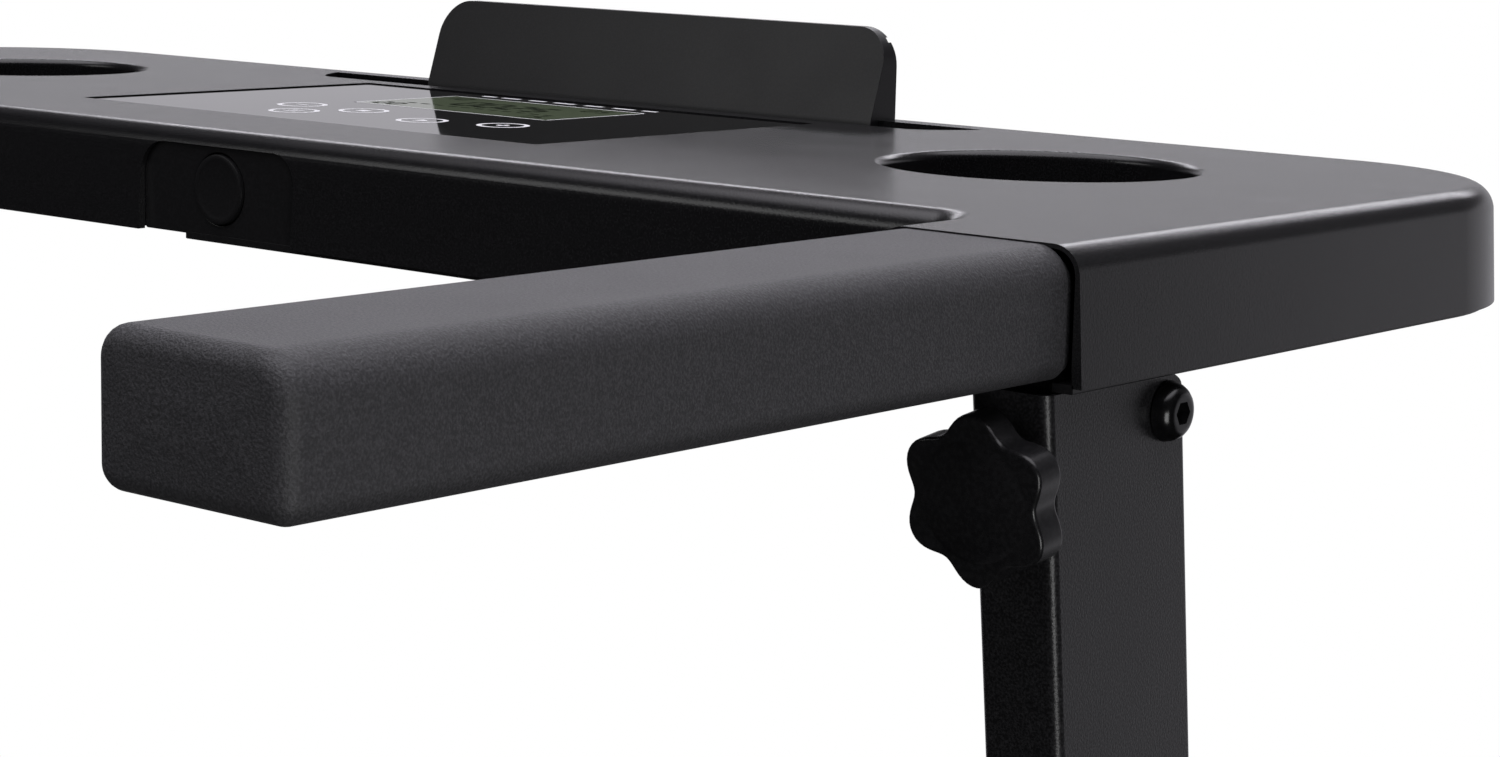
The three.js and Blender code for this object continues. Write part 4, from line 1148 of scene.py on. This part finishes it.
def transport_wheel(side_name):
    """A rubber tyre with a round tread on a dished hub."""
    low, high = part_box(f"{side_name}_transport_wheel")
    centre = Vector(((low.x + high.x) / 2, (low.y + high.y) / 2, (low.z + high.z) / 2))
    radius = (high.z - low.z) / 2
    half = (high.x - low.x) / 2
    bore = 4.4 * MM
    dish = 3 * MM
    shoulder = 5 * MM
    near = [(bore, -half), (15 * MM, -half), (17 * MM, dish - half), (22 * MM, dish - half),
            (23.5 * MM, 0.4 * MM - half)]
    tread = arc((radius - shoulder, shoulder - half), shoulder, -QUARTER, 0, 6)
    tread += arc((radius - shoulder, half - shoulder), shoulder, 0, QUARTER, 6)
    far = [(r, -along) for r, along in reversed(near)]
    loops = [ring("x", r, along, centre, 64) for r, along in near + tread + far]
    wheel = solid(f"{side_name}_wheel_tyre", loft(loops, closed=True), rubber, f"{side_name}_wheel")
    return stand_in(wheel, "rubber", f"{side_name}_transport_wheel")


for side_name, side in SIDES:
    foot_rail(side_name, side)
    grip_strip(side_name, side)
    rear_end_cap(side_name, side)
    transport_wheel(side_name)
    for place in ("front", "rear"):
        levelling_foot(side_name, place)


# ---- Camera, light and floor ----


def photo_camera():
    """Beside and behind the right handrail, looking forwards and to the left."""
    data = bpy.data.cameras.new("camera")
    data.lens = 75.05  # in millimetres, like the sensor's width
    data.sensor_width = 36
    data.clip_start = 10 * MM
    camera = bpy.data.objects.new("camera", data)
    bpy.context.scene.collection.objects.link(camera)
    corner = Vector((HALF, REAR, TOP))
    from_corner = Vector((0.3650, -0.5518, 0.0783))
    # Both directions come from the vanishing points of the photo's straight edges.
    forward = Vector((-0.6277, 0.7613, -0.1625)).normalized()
    right = Vector((0.7687, 0.6391, 0.0249)).normalized()
    up = right.cross(forward).normalized()
    right = forward.cross(up)
    turn = Matrix((right, up, -forward)).transposed().to_4x4()
    camera.matrix_world = Matrix.Translation(corner + from_corner) @ turn
    bpy.context.scene.camera = camera


def studio_world():
    """White behind the object. As a light it has a glow along the front horizon, a bright
    strip above that to the front and left, and a patch overhead. It is dark behind and below,
    so the faces turned to the user stay black."""
    world = bpy.data.worlds.new("studio")
    bpy.context.scene.world = world
    world.use_nodes = True
    nodes, links = world.node_tree.nodes, world.node_tree.links
    nodes.clear()
    place = nodes.new("ShaderNodeTexCoord")
    split = nodes.new("ShaderNodeSeparateXYZ")
    links.new(place.outputs["Generated"], split.inputs["Vector"])
    x, y, z = (split.outputs[axis] for axis in "XYZ")  # of the direction a ray takes

    def fade(source, low, high, to_low, to_high):
        """Goes smoothly from to_low to to_high while source goes from low to high."""
        node = nodes.new("ShaderNodeMapRange")
        node.interpolation_type = "SMOOTHSTEP"
        values = {"From Min": low, "From Max": high, "To Min": to_low, "To Max": to_high}
        for key, value in values.items():
            node.inputs[key].default_value = value
        links.new(source, node.inputs["Value"])
        return node.outputs["Result"]

    def math_node(operation, a, b):
        node = nodes.new("ShaderNodeMath")
        node.operation = operation
        links.new(a, node.inputs[0])
        links.new(b, node.inputs[1])
        return node.outputs["Value"]

    level = math_node("MULTIPLY", fade(z, 0.12, 0.26, 0.52, 0.1), fade(z, -0.6, -0.35, 0, 1))
    sides = math_node("MULTIPLY", fade(x, 0.42, 0.74, 1, 0), fade(y, -0.1, 0.35, 0.04, 1))
    horizon = math_node("MULTIPLY", level, sides)
    rise = math_node("MULTIPLY", fade(z, 0.31, 0.37, 0, 5.0), fade(z, 0.42, 0.48, 1, 0))
    reach = math_node("MULTIPLY", fade(x, -0.15, 0.0, 1, 0), fade(y, 0.35, 0.55, 0, 1))
    strip = math_node("MULTIPLY", rise, reach)
    overhead = fade(z, 0.68, 0.84, 0, 2.2)
    strength = math_node("MAXIMUM", horizon, math_node("MAXIMUM", strip, overhead))

    light = nodes.new("ShaderNodeBackground")
    backdrop = nodes.new("ShaderNodeBackground")
    light.inputs["Color"].default_value = (0.96, 0.94, 1, 1)
    backdrop.inputs["Color"].default_value = (1, 1, 1, 1)
    links.new(strength, light.inputs["Strength"])
    path = nodes.new("ShaderNodeLightPath")
    mix = nodes.new("ShaderNodeMixShader")
    links.new(path.outputs["Is Camera Ray"], mix.inputs["Fac"])
    links.new(light.outputs["Background"], mix.inputs[1])
    links.new(backdrop.outputs["Background"], mix.inputs[2])
    output = nodes.new("ShaderNodeOutputWorld")
    links.new(mix.outputs["Shader"], output.inputs["Surface"])


def softbox(name, direction, distance, width, height, radiance):
    """A rectangular light aimed at the right end of the console."""
    data = bpy.data.lights.new(name, "AREA")
    data.shape = "RECTANGLE"
    data.size = width
    data.size_y = height
    data.energy = radiance * math.pi * width * height  # in watts
    target = Vector((HALF, REAR, TOP))
    towards = Vector(direction).normalized()
    lamp = bpy.data.objects.new(name, data)
    lamp.location = target + towards * distance
    lamp.rotation_euler = towards.to_track_quat("Z", "Y").to_euler()
    bpy.context.scene.collection.objects.link(lamp)


def floor():
    """A pale disc. It gives no light to the object, whose undersides are dark in the photo."""
    bm = bmesh.new()
    bmesh.ops.create_circle(bm, cap_ends=True, segments=96, radius=1.4)
    material = grained("floor", (0.75, 0.75, 0.75), (0.8, 0.8, 0.8), 0.6, 4 * MM, 0.02 * MM)
    disc = from_bmesh("floor", bm, material)
    disc.visible_diffuse = False
    disc.visible_glossy = False


photo_camera()
studio_world()
softbox("rear_softbox", (-0.66, -0.64, 0.4), distance=2.0, width=0.9, height=0.4, radiance=1.7)
softbox("edge_softbox", (0.8, -0.5, -0.3), distance=1.2, width=0.5, height=0.7, radiance=4.0)
floor()
bpy.context.scene.view_settings.view_transform = "Standard"
